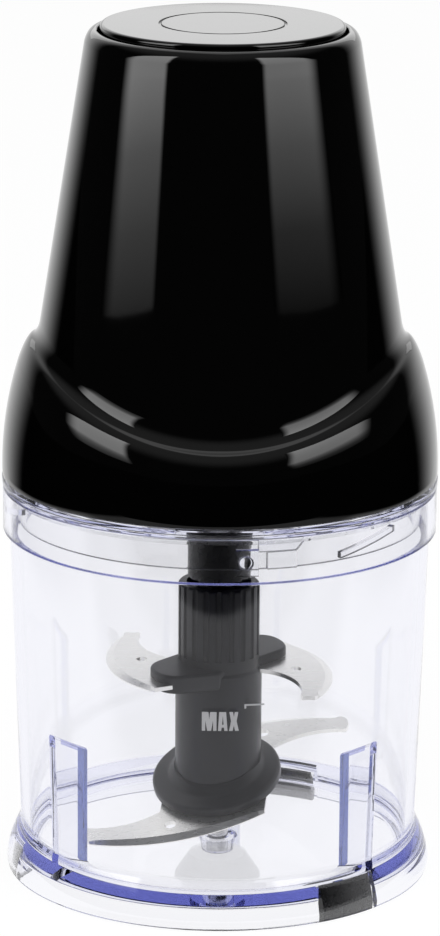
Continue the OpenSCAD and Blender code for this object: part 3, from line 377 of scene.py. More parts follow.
# Natural nylon, moulded: creamy, lets a little light in.
gear_nylon = finish("natural_moulded_nylon", "#e4dfd0", 2, rough=0.38, bump=0.004, IOR=1.53,
                    Subsurface_Weight=0.15, Subsurface_Scale=0.002)
# Pressed brass sheet.
brass = finish("pressed_brass", "#d9b36a", 0.8, rough=0.28, bump=0.003, Metallic=1.0)
# Sintered bronze: porous, brown and dull.
bronze = finish("sintered_bronze", "#9c7748", 0.35, rough=0.5, tint_swing=0.25, bump=0.01,
                Metallic=1.0)
# Enamelled copper wire of 0.35 mm, wound: fine strands side by side.
copper = finish("enamelled_copper_wire", "#b4602e", 0.35, stretch=(3, 3, 0.15), rough=0.3,
                tint_swing=0.3, bump=0.06, Metallic=0.9)
# Pressed carbon of the brushes.
carbon = finish("pressed_carbon", "#1c1c1d", 0.3, rough=0.6, tint_swing=0.2, bump=0.006)
# Red moulded polyester of the switch's plunger.
switch_red = finish("red_moulded_polyester", "#b3241b", 1.5, rough=0.35, bump=0.004)
# Light grey ink, pad printed: flat, a little uneven.
mark_ink = finish("light_grey_pad_print", "#c6c6ca", 0.4, rough=0.5, tint_swing=0.05, bump=0.002)


def painted_fin_glow(tree, where):
    """Painted glow of the bowl's fins: the surface colour is painted blue next to a fin's inner
    edge and lavender along its top, standing in for light piped inside the clear sheet to its
    edges. White everywhere else."""
    spot = add(tree, "SeparateXYZ", {0: where}).outputs
    plan = add(tree, "CombineXYZ", {0: spot["X"], 1: spot["Y"]}).outputs[0]
    radius = add(tree, "VectorMath", {0: plan}, operation="LENGTH").outputs["Value"]
    face = add(tree, "NewGeometry").outputs
    turned_up = add(tree, "SeparateXYZ", {0: face["True Normal"]}).outputs["Z"]
    # The fin's top climbs by about 0.55 a millimetre: height less that much is even along it
    along_top = sums(tree, "MULTIPLY_ADD", radius, -0.55, spot["Z"])
    over_floor = sums(tree, "GREATER_THAN", spot["Z"], 8 * MM)
    entering = sums(tree, "SUBTRACT", 1.0, face["Backfacing"])
    share = sums(tree, "MULTIPLY", over_floor, entering)
    shade = colour("#ffffff")
    # Painted glow: each mask paints its colour where light piped through the fin would come out
    for value, how, limit, reach, tint in (
            (along_top, "GREATER_THAN", 15.8 * MM, FIN_OUT, "#8d91cf"),
            (turned_up, "LESS_THAN", 0.5, FIN_IN + 3.3, "#28357f")):
        hit = sums(tree, "MULTIPLY", sums(tree, how, value, limit),
                   sums(tree, "LESS_THAN", radius, reach * MM))
        shade = add(tree, "Mix", {0: sums(tree, "MULTIPLY", hit, share), 6: shade, 7: colour(tint)},
                    data_type="RGBA").outputs[2]
    return shade


def clear_plastic(label, index=1.57, density=18.0, fins=False):
    """A clear plastic from a polished mould: white seen through a wall, blue where the light runs a
    long way inside it; fins adds the painted blue and lavender glow on the bowl's fins."""
    mat, tree = blank(label)
    where = add(tree, "TexCoord").outputs["Object"]
    wave = add(tree, "TexNoise", {"Vector": where, "Scale": 1 / (22 * MM), "Detail": 1.0})
    lift = add(tree, "Bump", {"Height": wave.outputs["Fac"], "Distance": 0.015 * MM})
    skin = add(tree, "BsdfPrincipled", {"Base Color": colour("#ffffff"), "Roughness": 0.0,
                                        "IOR": index, "Transmission Weight": 1.0,
                                        "Normal": lift.outputs[0]})
    if fins:
        tree.links.new(painted_fin_glow(tree, where), skin.inputs["Base Color"])
    open_ = add(tree, "BsdfTransparent", {"Color": colour("#f7f8fb")})
    ray = add(tree, "LightPath")
    mix = add(tree, "MixShader", {0: ray.outputs["Is Shadow Ray"], 1: skin.outputs[0],
                                  2: open_.outputs[0]})
    depth = add(tree, "VolumeAbsorption", {"Color": (0.075, 0.125, 0.70, 1), "Density": density})
    add(tree, "OutputMaterial", {"Surface": mix.outputs[0], "Volume": depth.outputs[0]})
    return mat


# Styrene acrylonitrile: the bowl, and the lid.
# The bowl's plastic also carries the painted glow on its fins
clear_san = clear_plastic("clear_moulded_san", fins=True)
# The lid is a shaded copy of the same plastic: its absorption is lowered as painted shade, because
# little light runs into the lid under the motor unit
shaded_lid_san = clear_plastic("clear_moulded_san_shaded_lid", density=4.0)
# Silicone of the lid's seal: clear too, from a polished mould.
silicone = clear_plastic("clear_moulded_silicone", index=1.41, density=2.0)


def dress(obj, mat, body=None, stands_for=()):
    """Gives obj its finish and its body, and hides the CAD nodes that it stands for."""
    obj.data.materials.clear()
    obj.data.materials.append(mat)
    if body:
        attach(obj, body)
    if stands_for:
        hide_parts(*stands_for)
    return obj


# ---------------------------------------------------------------- the bowl
FLARE_TOP = 13.7        # where the flared foot meets the wall, at a radius of 55.4
BOWL_WALL = 2.3


def wall_out(z):
    """The wall's outer radius: 2.8 wider over the 82.3 from the flare up to the collar."""
    return 55.4 + 2.8 * (z - FLARE_TOP) / 82.3


def wall_in(z):
    return wall_out(z) - BOWL_WALL


bowl = turned("clear_bowl", eased(
    [(59.2, 0.6, 0.4), (59.6, 2.4)] + bow((59.6, 2.4), (55.4, FLARE_TOP), -0.6, 10)[1:-1]
    + [(55.4, FLARE_TOP, 3.0), (wall_out(55), 55),
       (58.2, 98.2, 0.2), (60.1, 98.7, 0.2), (60.1, 111.2, 0.6),
       (57.9, 111.2, 0.3), (57.9, 98.8, 0.3), (55.9, 98.2, 0.3), (wall_in(55), 55),
       (wall_in(7.5), 7.5, 3.2), (5.6, 7.5), (5.0, 8.5), (0, 8.5), (0, 6), (56.2, 6, 0.5),
       (56.8, 0.6, 0.4)]))

# Fins: the front two stand closer together than thirds of a turn, as the photograph shows them.
# Each is 3.8 mm thick up to the bend in its top and thins from there to its root in the wall.
FINS = [front(50), front(174), front(-55)]
fin = slab("fin", [(FIN_IN, 7.0), (FIN_BEND, 7.0), (wall_in(7) + 1, 7.0), (wall_in(40) + 1, 47.6),
                   (FIN_BEND, 42.9), (FIN_IN, 42)], -1.9, 1.9)
bpy.ops.mesh.bisect(plane_co=(FIN_BEND * MM, 0, 0), plane_no=(1, 0, 0))
tidy_mesh(fin)
for v in fin.data.vertices:
    if v.co.x > (FIN_BEND + 0.4) * MM:
        v.co.y *= 0.7
soften(fin, 0.7, segments=3)
extras = copies(fin, FINS)


def bayonet():
    """Ledge with a lead cut at its far end, a stop with a small round pip, the mould's seam
    beside it, and a sloping rib further round."""
    a = front(10.3)
    ledge = sector("ledge", 56.1, 58.4, 107.3, 110.4, a, a + 12.2, 16)
    lead = tidy_mesh(slab("lead", [(0, 0), (6, 0), (6, -6), (0, -6)], 0, 10))
    place(lead, Matrix.Rotation(math.radians(a + 10.4), 4, "Z")
          @ Matrix.Translation(Vector((55, 0, 107.3)) * MM)
          @ Matrix.Rotation(math.radians(50), 4, "X"))
    shape(ledge, lead, "DIFFERENCE")
    stop = sector("stop", 56.1, 58.4, 100.6, 107.8, a - 5.9, a, 8)
    seam = sector("seam", 57.4, 58.4, 99.4, 110.8, a - 8.0, a - 7.4, 2)
    pip = soften(rod("pip", 2.1, -0.5, 1.8, 32, 1.9), 0.7, segments=4)
    place(pip, Matrix.Rotation(math.radians(a - 3.2), 4, "Z")
          @ Matrix.Translation(Vector((56.2, 0, 104)) * MM)
          @ Matrix.Rotation(math.radians(-90), 4, "Y"))
    rib = sector("rib", 56.4, 58.4, 101.0, 110.6, -9.7, 9.7, 20)
    band = tidy_mesh(slab("band", [(50, -0.8), (64, -0.8), (64, 0.8), (50, 0.8)], -20, 20))
    place(band, Matrix.Translation((0, 0, 106.0 * MM))
          @ Matrix.Rotation(math.radians(11.5), 4, "X"))
    shape(rib, band, "INTERSECT")
    place(rib, Matrix.Rotation(math.radians(front(43.2)), 4, "Z"))
    shape(stop, pip, "UNION")
    return join("bayonet", [ledge, stop, seam, rib])


extras += copies(bayonet(), (0, 120, 240))
# Socket under the floor that holds the steel pin
socket = soften(rod("socket", 4.4, 2.0, 6.5, 64, 5.2), 0.4, segments=3)
extras.append(socket)
shape(bowl, join("bowl_extras", extras), "UNION")

# The feet stand in pockets behind a clear skin of the flare
FEET = [front(38.4 + 120 * k) for k in range(3)]
SKIN = 1.2
FOOT_HALF, POCKET_HALF = 8.5, 11.2


def flare(inset):
    """The flare's outer curve, inset by so many millimetres."""
    return bow((59.2 - inset, 2.4), (55.0 - inset, FLARE_TOP), -0.6, 12)


def wedge(label, points, half):
    """A block 2 * half wide across its own middle, its outline spun round the bowl's axis."""
    block = spin(outline(label, points, fill=True), 24, math.radians(20))
    place(block, Matrix.Rotation(math.radians(-10), 4, "Z"))
    take(block, "EDIT")
    for side in (-1, 1):
        bpy.ops.mesh.select_all(action="SELECT")
        bpy.ops.mesh.bisect(plane_co=(0, side * half * MM, 0), plane_no=(0, side, 0),
                            clear_outer=True, use_fill=True)
    return tidy_mesh(block)


pocket = wedge("pocket", [(55.3, -1), (59.15 - SKIN, -1)]
               + [p for p in flare(SKIN - 0.05) if p[1] < 9.6]
               + [(57.2 - SKIN, 10.1), (55.3, 10.1)], POCKET_HALF)
holes = copies(pocket, FEET)
holes.append(rod("pin_hole", 3.0, 2.6, 9.5, 64))
shape(bowl, join("bowl_holes", holes), "DIFFERENCE")
dress(smooth(bowl, 28), clear_san, "bowl", ["bowl"])

# Rubber feet: they bear on the flare's skin and stand a little below it
foot = wedge("foot", eased(
    [(55.45, 0.3), (55.75, 0), (58.6 - SKIN, 0), (59.0 - SKIN, 0.5)]
    + [p for p in flare(SKIN + 0.05) if p[1] < 9.3]
    + [(57.0 - SKIN, 10.0, 0.4), (55.45, 10.0, 0.2)]), FOOT_HALF)
soften(foot, 0.35, 50)
feet = join("rubber_feet_set", copies(foot, FEET))
dress(smooth(feet, 30), foot_rubber, "bowl", ["rubber_feet"])

# ---------------------------------------------------------------- the lid
lid = turned("clear_lid", eased(
    [(12.8, 109.3, 0.4), (14.8, 109.3, 0.4), (14.8, 111.3), (53.8, 111.3, 0.5), (53.8, 101.8, 0.4),
     (55.6, 101.8, 0.4), (55.6, 111.3), (59.9, 111.3, 0.3), (60.3, 111.9), (60.3, 113.3),
     (59.7, 113.9, 0.2), (52.6, 113.9, 0.2), (52.6, 113.3), (12.8, 113.3, 0.3)]))
lugs = copies(sector("lug", 54.6, 57.5, 102.3, 107.0, 0, 8, 10),
              [front(12.75 + 120 * k) for k in range(3)])
studs = copies(shift(rod("stud", 2.5, 111.3, 117.3, 48, 2.3), x=40), (0, 180))
post = shift(rod("post", 3.5, 111.3, 113.9, 48), y=41)
shape(lid, join("lid_extras", lugs + studs + [post]), "UNION")
dress(smooth(lid, 28), shaded_lid_san, "lid", ["lid"])

# ---------------------------------------------------------------- the motor unit
SKIRT_Z, RIM_Z, WALL = 114.0, 237.6, 2.4
SKIRT_R, SKIRT_BOW = 60.3, 100
CONE = math.tan(math.radians(8.93))


def cone_r(z):
    """The cone's outer radius at a height over the table."""
    return 37 + (RIM_Z - z) * CONE


def skirt_r(h):
    """The skirt's outer radius at a height over its lower edge: an arc, widest at 2."""
    return SKIRT_R - (SKIRT_BOW - math.sqrt(SKIRT_BOW ** 2 - (h - 2) ** 2))


def skirt_side(az):
    """The saddle: the skirt's outline at one angle, from its lower edge to the cone."""
    v_h = 30.2 - 9 * math.cos(2 * math.radians(az))
    v = (cone_r(SKIRT_Z + v_h), v_h)
    out = (skirt_r(v_h) - v[0]) * 0.99
    c_h = v_h - out * math.tan(math.radians(30))
    crest = (skirt_r(c_h), c_h)
    mid = ((v[0] + crest[0]) / 2, (v[1] + crest[1]) / 2)
    low = c_h - 6
    wall = [(skirt_r(h), h) for h in (2 + (low - 2) * i / 8 for i in range(8))]
    return ([(59.9, 0), (60.15, 0.25), (60.25, 0.9)] + wall
            + corner((skirt_r(low), low), crest, mid, 12)
            + corner(mid, v, (cone_r(SKIRT_Z + v_h + 4), v_h + 4), 12)[1:]
            + [(cone_r(SKIRT_Z + 46), 46)])


def skirt_loop(az):
    """Outer side, the cone with its rim, and back down the inside, as one closed loop."""
    side = skirt_side(az)
    inner = []
    for i in range(len(side) - 2, 5, -2):
        a, b = side[i - 1], side[i + 1]
        length = math.hypot(b[0] - a[0], b[1] - a[1])
        inner.append((side[i][0] - WALL * (b[1] - a[1]) / length,
                      side[i][1] + WALL * (b[0] - a[0]) / length))
    up = [(cone_r(z), z - SKIRT_Z) for z in (175, 190, 205, 220, 230)]
    rim = corner((cone_r(234.2), 120.2), (36.6, 123.6), (34.6, 123.6), 12)
    hole = [(34.3, 123.55), (34.08, 123.35), (34, 123.0), (34, 115.0),
            (cone_r(229) - WALL, 115.0)]
    down = [(cone_r(z) - WALL, z - SKIRT_Z) for z in (215, 195, 175, 160)]
    return [(r, SKIRT_Z + h) for r, h in
            side + up + rim + hole + down + inner + [(57.8, 2), (57.8, 0.2), (58.0, 0)]]


# Spun with the outline of the side, then every point moves in its own upright plane to the
# outline of that angle
start_loop = skirt_loop(90)
housing = turned("gloss_motor_housing", start_loop, 240)
known = {(round(r, 2), round(z, 2)): i for i, (r, z) in enumerate(start_loop)}
loops = {}
for v in housing.data.vertices:
    angle = math.atan2(v.co.y, v.co.x)
    az = round(math.degrees(angle) + 90, 3)
    if az not in loops:
        loops[az] = skirt_loop(az)
    r, z = math.hypot(v.co.x, v.co.y) / MM, v.co.z / MM
    i = known.get((round(r, 2), round(z, 2)))
    if i is None:
        i = min(range(len(start_loop)),
                key=lambda k: abs(start_loop[k][0] - r) + abs(start_loop[k][1] - z))
    r, z = loops[az][i]
    v.co = Vector((r * math.cos(angle), r * math.sin(angle), z)) * MM

inlet_hole = rod("inlet_hole", 5.02, 50, 66, 64)
place(inlet_hole, Matrix.Translation((0, 0, 123.4 * MM))
      @ Matrix.Rotation(math.radians(-90), 4, "X"))
shape(housing, inlet_hole, "DIFFERENCE")
SCREWS = (30, 150, 270)
boss = turned("boss", [(1.7, 117.8), (4.2, 117.8), (4.2, 129.8), (0, 129.8), (0, 128.8),
                       (1.7, 128.8)], 32)
shift(boss, x=46)
web = extruded("web", [(49.5, -1), (58.2, -1), (58.2, 1), (49.5, 1)], 117.8, 128.8)
join("gloss_motor_housing", [housing] + copies(boss, SCREWS) + copies(web, SCREWS))
dress(smooth(housing, 30), gloss_black, "motor_unit", ["motor_housing"])

button = turned("press_button_cap", eased(
    [(0, 239.2), (16.6, 239.2, 0.15), (16.7, 238.7, 0.1), (17.3, 238.7, 0.1), (17.4, 239.2, 0.15),
     (33.3, 239.2, 1.0), (33.3, 226.9, 0.3), (31.3, 226.9, 0.3), (31.3, 236.6, 0.5),
     (4, 236.6, 0.4), (4, 224.0, 0.3), (0, 224.0)]))
hooks = copies(sector("hook", 31.6, 35.0, 226.9, 228.9, -8, 8, 12), SCREWS)
shape(button, join("hooks", hooks), "UNION")
slit = extruded("slit", [(30, -0.6), (36, -0.6), (36, 0.6), (30, 0.6)], 225, 230)
slits = copies(slit, [a + s for a in SCREWS for s in (-10, 10)])
shape(button, join("slits", slits), "DIFFERENCE")
dress(smooth(button, 30), gloss_black, "button", ["press_button"])

hub = turned("black_drive_hub", eased(
    [(0, 62.4), (4.6, 62.4), (5.6, 63.4, 0.3), (5.6, 83.6, 0.3), (8.2, 83.6), (8.8, 84.2),
     (8.8, 107.7), (8.2, 108.3), (0, 108.3)]), 96)
dog = spin(outline("dog", eased([(5.1, 63.6), (7.6, 63.6), (8.8, 64.8), (8.8, 84.1), (5.1, 84.1)]),
                   fill=True), 8, math.radians(20))
place(dog, Matrix.Rotation(math.radians(-10), 4, "Z"))
shape(hub, join("dogs", copies(dog, (0, 120, 240))), "UNION")
dress(smooth(hub, 30), hub_black, "output", ["drive_hub"])

# ---------------------------------------------------------------- the blade assembly
UPPER = (Matrix.Translation((0, 0, 57.6 * MM)) @ Matrix.Rotation(math.atan(0.1), 4, "X"))
LOWER_RISE = Vector((0.16, 0.325))
LOWER_TILT = math.atan(LOWER_RISE.length)
LOWER = (Matrix.Translation((0, 0, 23.8 * MM))
         @ Matrix.Rotation(LOWER_TILT, 4, Vector((0.325, -0.16, 0))))

spindle = turned("grey_spindle", eased(
    [(0, 12.5), (8.1, 12.5, 0.5), (12.1, 18.5, 2), (12.1, 57.6, 0.4), (11.4, 58.2, 0.4),
     (11.4, 82.4, 0.8), (0, 82.4)]), 128)
ear = ([(0, -12.7)] + corner((-9.5, -15.2), (-14.6, -16.5), (-17.4, -12.2), 12)
       + corner((-17.4, -12.2), (-20.6, -7.4), (-17.2, -3.8), 12)[1:] + [(-11.3, 1.5)])
lobes = extruded("lobes", ear + [(-x, -y) for x, y in ear], -2.2, 3.2)
soften(lobes, 0.8, 60, 4)
place(lobes, UPPER)
flange = place(turned("flange", eased(
    [(0, 0.6), (18.2, 0.6, 0.7), (18.2, 3.6, 1.2), (13.6, 4.5, 2), (11.6, 6.6), (0, 6.6)]), 96),
    LOWER)
under = place(rod("under", 9, -1.8, 1.0, 64), LOWER)
shape(spindle, join("spindle_extras", [lobes, flange, under]), "UNION")
flute = shift(rod("flute", 0.9, 61.8, 90, 20), x=11.7)
cuts = copies(flute, [18 * k for k in range(20)])
cuts.append(rod("pin_bore", 3.06, 12, 56.8, 48))
cuts.append(rod("below", 40, 0, 12.5, 48))
throat = rod("throat", 9.1, 61.4, 90, 64)
ribs = copies(sector("rib", 6.1, 10, 62.9, 81, -10, 10, 8), (60, 180, 300))
shape(throat, join("ribs", ribs), "DIFFERENCE")
shape(spindle, join("spindle_cuts", cuts + [throat]), "DIFFERENCE")
dress(smooth(spindle, 30), spindle_grey, "blade_assembly", ["spindle"])


def blade(label, arm, ground, hole, hole_r, relief, matrix):
    """Sheet blade of 1.2 mm with two equal arms. The first points of an arm, ground in number,
    run along its cutting edge, which is thinned by a bevel 2.2 mm wide on the upper side."""
    points = [(s * x, s * y) for s in (1, -1) for x, y in arm]
    obj = outline(label, points, fill=True, flat=True)
    bpy.ops.mesh.select_all(action="SELECT")
    bpy.ops.transform.translate(value=(0, 0, -0.6 * MM))
    bpy.ops.mesh.extrude_region_move(TRANSFORM_OT_translate={"value": (0, 0, 0.3 * MM)})
    bpy.ops.mesh.extrude_region_move(TRANSFORM_OT_translate={"value": (0, 0, 0.9 * MM)})
    let_go()
    for s in (1, -1):
        for i in range(1, ground - 1):
            x, y = points[i] if s > 0 else points[i + len(arm)]
            (ax, ay), (bx, by) = [points[(j if s > 0 else j + len(arm)) % len(points)]
                                  for j in (i - 1, i + 1)]
            length = math.hypot(bx - ax, by - ay)
            width = 2.2 * math.sin(math.pi * i / (ground - 1)) ** 0.4
            for v in obj.data.vertices:
                if v.co.z > 0.5 * MM and math.hypot(v.co.x / MM - x, v.co.y / MM - y) < 1e-3:
                    v.co.x += width * (by - ay) / length * MM
                    v.co.y -= width * (bx - ax) / length * MM
                    break
    tidy_mesh(obj)
    holes = [shift(rod("hole", hole_r, -2, 2, 32), s * hole[0], s * hole[1]) for s in (1, -1)]
    holes.append(rod("relief", relief, -2, 2, 48))
    shape(obj, join("holes", holes), "DIFFERENCE")
    return place(obj, matrix)


upper_edge = bow((17.6, 17.4), (27.2, -21.4), 8.8, 30)
upper_blade = blade(
    "upper_sickle_blade",
    upper_edge + bow((26.4, -22.2), (23.2, -22.2), -0.4, 3) + bow((22.5, -21.4), (10, -3.2), -5, 20)
    + [(-4, -12)], len(upper_edge), (21.6, -3), 1.5, 6.06, UPPER)
dress(smooth(upper_blade, 20), blade_steel, "blade_assembly", ["upper_blade"])


def on_slope(p):
    """A point of the plan, stretched up the slope of the lower blade's plane."""
    p, g = Vector(p), LOWER_RISE.normalized()
    return tuple(p + (1 / math.cos(LOWER_TILT) - 1) * p.dot(g) * g)


lower_edge = bow((-13, 17), (35.4, 19.8), 5.2, 32)
lower_arm = [on_slope(p) for p in lower_edge + bow((36.5, 18.9), (37.2, 15.2), 0.5, 5)
             + bow((36.6, 13.7), (16, 11.2), -2.3, 12)]
lower_blade = blade("lower_long_blade", lower_arm, len(lower_edge), on_slope((13, 17.4)), 1.6, 4.06,
                    LOWER)
dress(smooth(lower_blade, 20), blade_steel, "blade_assembly", ["lower_blade"])

# ---------------------------------------------------------------- fill mark on the bowl
LETTERS = [
    (0.0, [(0, 0), (0.9, 0), (0.95, 2.9), (1.45, 0), (2.5, 0), (3.0, 2.9), (3.05, 0), (3.94, 0),
           (3.94, 5.35), (2.2, 5.35), (1.98, 3.2), (1.75, 5.35), (0, 5.35)], None),
    (4.35, [(0, 0), (0.85, 0), (0.98, 0.95), (1.58, 0.95), (1.72, 0), (2.56, 0), (2.14, 5.35),
            (0.3, 5.35)], [(1.08, 1.75), (1.5, 1.75), (1.28, 4.3)]),
    (7.32, [(0, 0), (0.95, 0), (1.28, 1.6), (1.6, 0), (2.62, 0), (2.0, 2.75), (2.45, 5.35),
            (1.5, 5.35), (1.27, 3.9), (1.02, 5.35), (0.05, 5.35), (0.5, 2.75)], None),
]
MARK_Z = 57.1


def on_wall(obj, x0, z0):
    """Bends a flat sign round the outside of the bowl's front wall."""
    for v in obj.data.vertices:
        z = v.co.y / MM + z0
        r = wall_out(z) + 0.03 + v.co.z / MM
        a = math.radians(front(0)) + (v.co.x / MM + x0) / wall_out(z)
        v.co = Vector((r * math.cos(a), r * math.sin(a), z)) * MM
    return tidy_mesh(obj)


signs = []
for x, points, eye in LETTERS:
    letter = extruded("letter", points, 0, 0.1)
    if eye:
        shape(letter, extruded("eye", eye, -1, 1), "DIFFERENCE")
    signs.append(on_wall(letter, x - 4.41, MARK_Z))
tick = [(0, 0), (0.5, 0), (0.5, 0.75)] + [(0.5 + 0.7 * i, 0.75) for i in range(1, 8)]
tick = extruded("tick", tick + [(x, 1.2) for x, y in reversed(tick[3:])] + [(0.5, 1.2), (0, 1.2)],
                0, 0.1)
signs.append(on_wall(tick, 7.0, MARK_Z + 6.3))
mark = join("max_fill_mark", signs)
dress(mark, mark_ink, "bowl")

# ---------------------------------------------------------------- finishes of the CAD's own pieces
FINISH = {
    "clear_san": clear_san, "gloss_black_abs": gloss_black, "black_abs": satin_black,
    "spindle_grey": spindle_grey, "hub_black": hub_black, "blade_steel": blade_steel,
    "pin_steel": pin_steel, "screw_steel": screw_steel, "spring_steel": spring_steel,
    "lamination_steel": lamination_steel, "foot_rubber": foot_rubber, "seal_silicone": silicone,
    "seal_rubber": seal_rubber, "gear_nylon": gear_nylon, "brass": brass, "bearing_bronze": bronze,
    "copper_wire": copper, "carbon": carbon, "switch_red": switch_red,
}
for part in frame["record"]["subparts"]:
    for slot in nodes[part["node"]].material_slots:
        slot.material = FINISH[part["material_slot"]]

# ---------------------------------------------------------------- camera
lens = bpy.data.cameras.new("camera")
lens.sensor_fit, lens.sensor_height, lens.lens = "VERTICAL", 36, 180
camera = bpy.data.objects.new("camera", lens)
scene.collection.objects.link(camera)
camera.matrix_world = (Matrix.Translation((0, -1.25, 0.45622))
                       @ Matrix.Rotation(math.radians(74.718), 4, "X")
                       @ Matrix.Rotation(math.radians(0.391), 4, "Z"))
scene.camera = camera

# ---------------------------------------------------------------- studio
scene.view_settings.view_transform = "Standard"
scene.cycles.max_bounces = 40
scene.cycles.transmission_bounces = 40
scene.cycles.glossy_bounces = 40
scene.cycles.transparent_max_bounces = 24


def ramp(tree, value, start, end, low, high, kind="LINEAR"):
    return add(tree, "MapRange", {0: value, 1: start, 2: end, 3: low, 4: high},
               interpolation_type=kind).outputs[0]


def chosen(tree, test, no, yes):
    return add(tree, "Mix", {0: test, 2: no, 3: yes}, data_type="FLOAT").outputs[0]


def bounced(tree, ray):
    """1 once the ray has met a matt surface: such light stays weak, as under the motor unit."""
    return sums(tree, "GREATER_THAN", ray["Diffuse Depth"], 0.5)


def behind_view(tree, share):
    """1 behind the object, 0 beside it and in front; share is y over the distance in plan."""
    return ramp(tree, share, 0.5, 0.88, 0.0, 1.0, "SMOOTHSTEP")


# World: white to the camera. Through the clear plastic and in gloss it is white behind the object
# and dark in front of it, as in a tent that is open towards the camera.
world = bpy.data.worlds.new("studio")
scene.world = world
world.use_nodes = True
tree = world.node_tree
tree.nodes.clear()
ray = add(tree, "LightPath").outputs
way = add(tree, "SeparateXYZ", {0: add(tree, "TexCoord").outputs["Generated"]}).outputs
flat = sums(tree, "MULTIPLY", way["X"], way["X"])
flat = sums(tree, "SQRT", sums(tree, "MULTIPLY_ADD", way["Y"], way["Y"], flat))
share = sums(tree, "DIVIDE", way["Y"], flat)
above = ramp(tree, way["Z"], 0.45, 0.9, 0.012, 0.25, "SMOOTHSTEP")
gloss = sums(tree, "MAXIMUM", behind_view(tree, share), above)
level = chosen(tree, ray["Is Glossy Ray"], 0.4, gloss)
clear = ramp(tree, share, -0.55, 0.15, 0.03, 1.0, "SMOOTHSTEP")
level = chosen(tree, ray["Is Transmission Ray"], level, clear)
level = chosen(tree, bounced(tree, ray), level, 0.3)
level = chosen(tree, ray["Is Camera Ray"], level, 1.0)
sky = add(tree, "Background", {"Color": colour("#ffffff"), "Strength": level})
add(tree, "OutputWorld", {"Surface": sky.outputs[0]})

# Floor: white, keeps a faint shadow. Gloss and clear plastic see its front part dimmer, up to the
# table's edge 0.291 m in front, which draws the dark arc on the spindle's head. Gloss sees it dark
# beside the object and white behind, as it sees the world. A ray that goes on through the clear
# plastic counts as glossy too, so it is told apart last.
let_go()
bpy.ops.mesh.primitive_plane_add(size=6, location=(0, 0, 0))
floor = name(bpy.context.object, "studio_floor")
mat, tree = blank("white_floor_sheet")
ray = add(tree, "LightPath").outputs
where = add(tree, "TexCoord").outputs["Object"]
spot = add(tree, "SeparateXYZ", {0: where}).outputs
away = add(tree, "VectorMath", {0: where}, operation="LENGTH").outputs["Value"]
share = sums(tree, "DIVIDE", spot["Y"], away)
lit = sums(tree, "MULTIPLY", ramp(tree, spot["Y"], -0.135, -0.10, 0.42, 1.0),
           ramp(tree, spot["Y"], -0.295, -0.287, 0.0, 1.0))
side = ramp(tree, sums(tree, "ABSOLUTE", spot["X"]), 0.26, 0.36, 1.0, 0.0, "SMOOTHSTEP")
gloss = sums(tree, "MAXIMUM", sums(tree, "MULTIPLY", lit, side), behind_view(tree, share))
gloss = chosen(tree, ray["Is Glossy Ray"], lit, gloss)
lit = chosen(tree, ray["Is Transmission Ray"], gloss, lit)
lit = chosen(tree, bounced(tree, ray), lit, 0.3)
seen = sums(tree, "MAXIMUM", ray["Is Glossy Ray"], ray["Is Transmission Ray"])
matt = add(tree, "BsdfDiffuse", {"Color": colour("#f4f4f5")})
bright = add(tree, "Emission", {"Color": colour("#ffffff"), "Strength": lit})
shadow = add(tree, "Emission", {"Color": colour("#ffffff"), "Strength": 1.1})
to_camera = add(tree, "MixShader", {0: 0.85, 1: matt.outputs[0], 2: shadow.outputs[0]})
rest = add(tree, "MixShader", {0: seen, 1: matt.outputs[0], 2: bright.outputs[0]})
whole = add(tree, "MixShader", {0: ray["Is Camera Ray"], 1: rest.outputs[0],
                                2: to_camera.outputs[0]})
add(tree, "OutputMaterial", {"Surface": whole.outputs[0]})
floor.data.materials.append(mat)


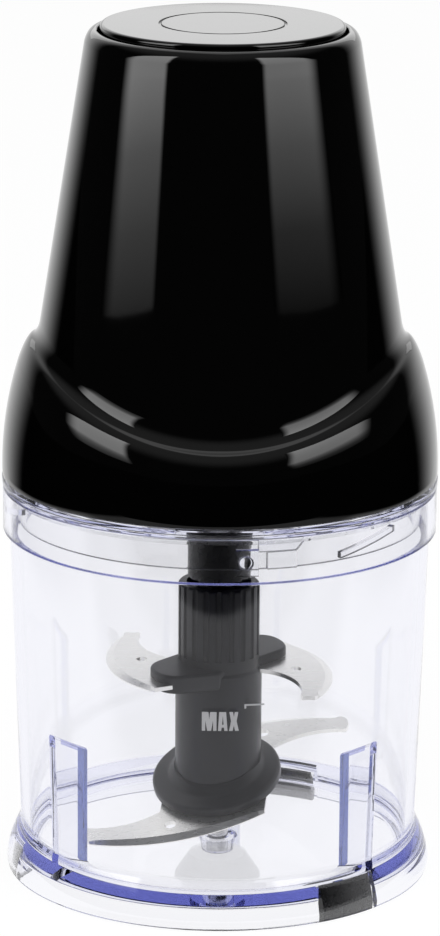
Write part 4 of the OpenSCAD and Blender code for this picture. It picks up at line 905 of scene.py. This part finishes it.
def panel(label, rows, levels, fades=(0.02, 0.02)):
    """Upright light panel, seen only by gloss. The rows of its mesh run from left to right,
    lowest first, with ends in metres; levels are (metres above the lowest row, strength). It
    dims towards its left and right edges over the shares of its width in fades."""
    let_go()
    bpy.ops.mesh.primitive_grid_add(size=1, x_subdivisions=1, y_subdivisions=len(rows) - 1)
    obj = name(bpy.context.object, label)
    for v, co in zip(sorted(obj.data.vertices, key=lambda v: (v.co.y, v.co.x)), sum(rows, [])):
        v.co = co
    mat, tree = blank(label + "_light")
    a, b = rows[0]
    lean = (b[2] - a[2]) / (b[0] - a[0])
    up = add(tree, "VectorMath", {0: add(tree, "TexCoord").outputs["Object"], 1: (-lean, 0, 1)},
             operation="DOT_PRODUCT").outputs["Value"]
    total = levels[0][1]
    base = a[2] - lean * a[0]
    for (h0, low), (h1, high) in zip(levels, levels[1:]):
        total = sums(tree, "ADD", total, ramp(tree, up, base + h0, base + h1, 0.0, high - low))
    across = add(tree, "SeparateXYZ", {0: add(tree, "TexCoord").outputs["UV"]}).outputs["X"]
    for start, end in ((0, fades[0]), (1, 1 - fades[1])):
        fade = ramp(tree, across, start, end, 0.0, 1.0, "SMOOTHSTEP")
        total = sums(tree, "MULTIPLY", total, fade)
    glow = add(tree, "Emission", {"Color": colour("#ffffff"), "Strength": total})
    add(tree, "OutputMaterial", {"Surface": glow.outputs[0]})
    obj.data.materials.append(mat)
    obj.visible_camera = obj.visible_diffuse = obj.visible_shadow = False
    obj.visible_transmission = False


panel("left_panel", [[(-0.523, -0.086, 0.164), (-0.358, -0.411, 0.199)],
                     [(-0.545, -0.043, 0.244), (-0.368, -0.392, 0.275)],
                     [(-0.545, -0.043, 0.352), (-0.368, -0.392, 0.800)]],
      [(0, 0.35), (0.03, 0.8), (0.06, 1.6), (0.09, 3.4), (0.60, 4.5)], (0.28, 0.10))
panel("right_panel", [[(0.286, -0.437, 0.200), (0.558, -0.061, 0.168)],
                      [(0.270, -0.459, 0.285), (0.549, -0.072, 0.251)],
                      [(0.270, -0.459, 0.800), (0.549, -0.072, 0.352)]],
      [(0, 0.1), (0.03, 0.4), (0.06, 1.3), (0.09, 2.8), (0.60, 4.5)], (0.10, 0.28))
panel("back_panel", [[(-0.6, 0.9, 0.38), (0.6, 0.9, 0.38)], [(-0.6, 0.9, 0.90), (0.6, 0.9, 0.90)]],
      [(0, 1.6), (0.2, 1.7)])


def lamp(label, spot, aim, size, watts):
    """Round soft lamp for the matt surfaces; its own disc shows in nothing."""
    data = bpy.data.lights.new(label, "AREA")
    data.shape, data.size, data.energy = "DISK", size, watts
    obj = bpy.data.objects.new(label, data)
    scene.collection.objects.link(obj)
    spot, aim = Vector(spot), Vector(aim)
    turn = (aim - spot).to_track_quat("-Z", "Y").to_matrix().to_4x4()
    obj.matrix_world = Matrix.Translation(spot) @ turn
    obj.visible_camera = obj.visible_glossy = obj.visible_transmission = False


lamp("key_lamp", (-0.7, -0.9, 1.0), (0, 0, 0.08), 0.7, 5)
lamp("fill_lamp", (0.9, -0.6, 0.8), (0, 0, 0.08), 0.8, 3.5)
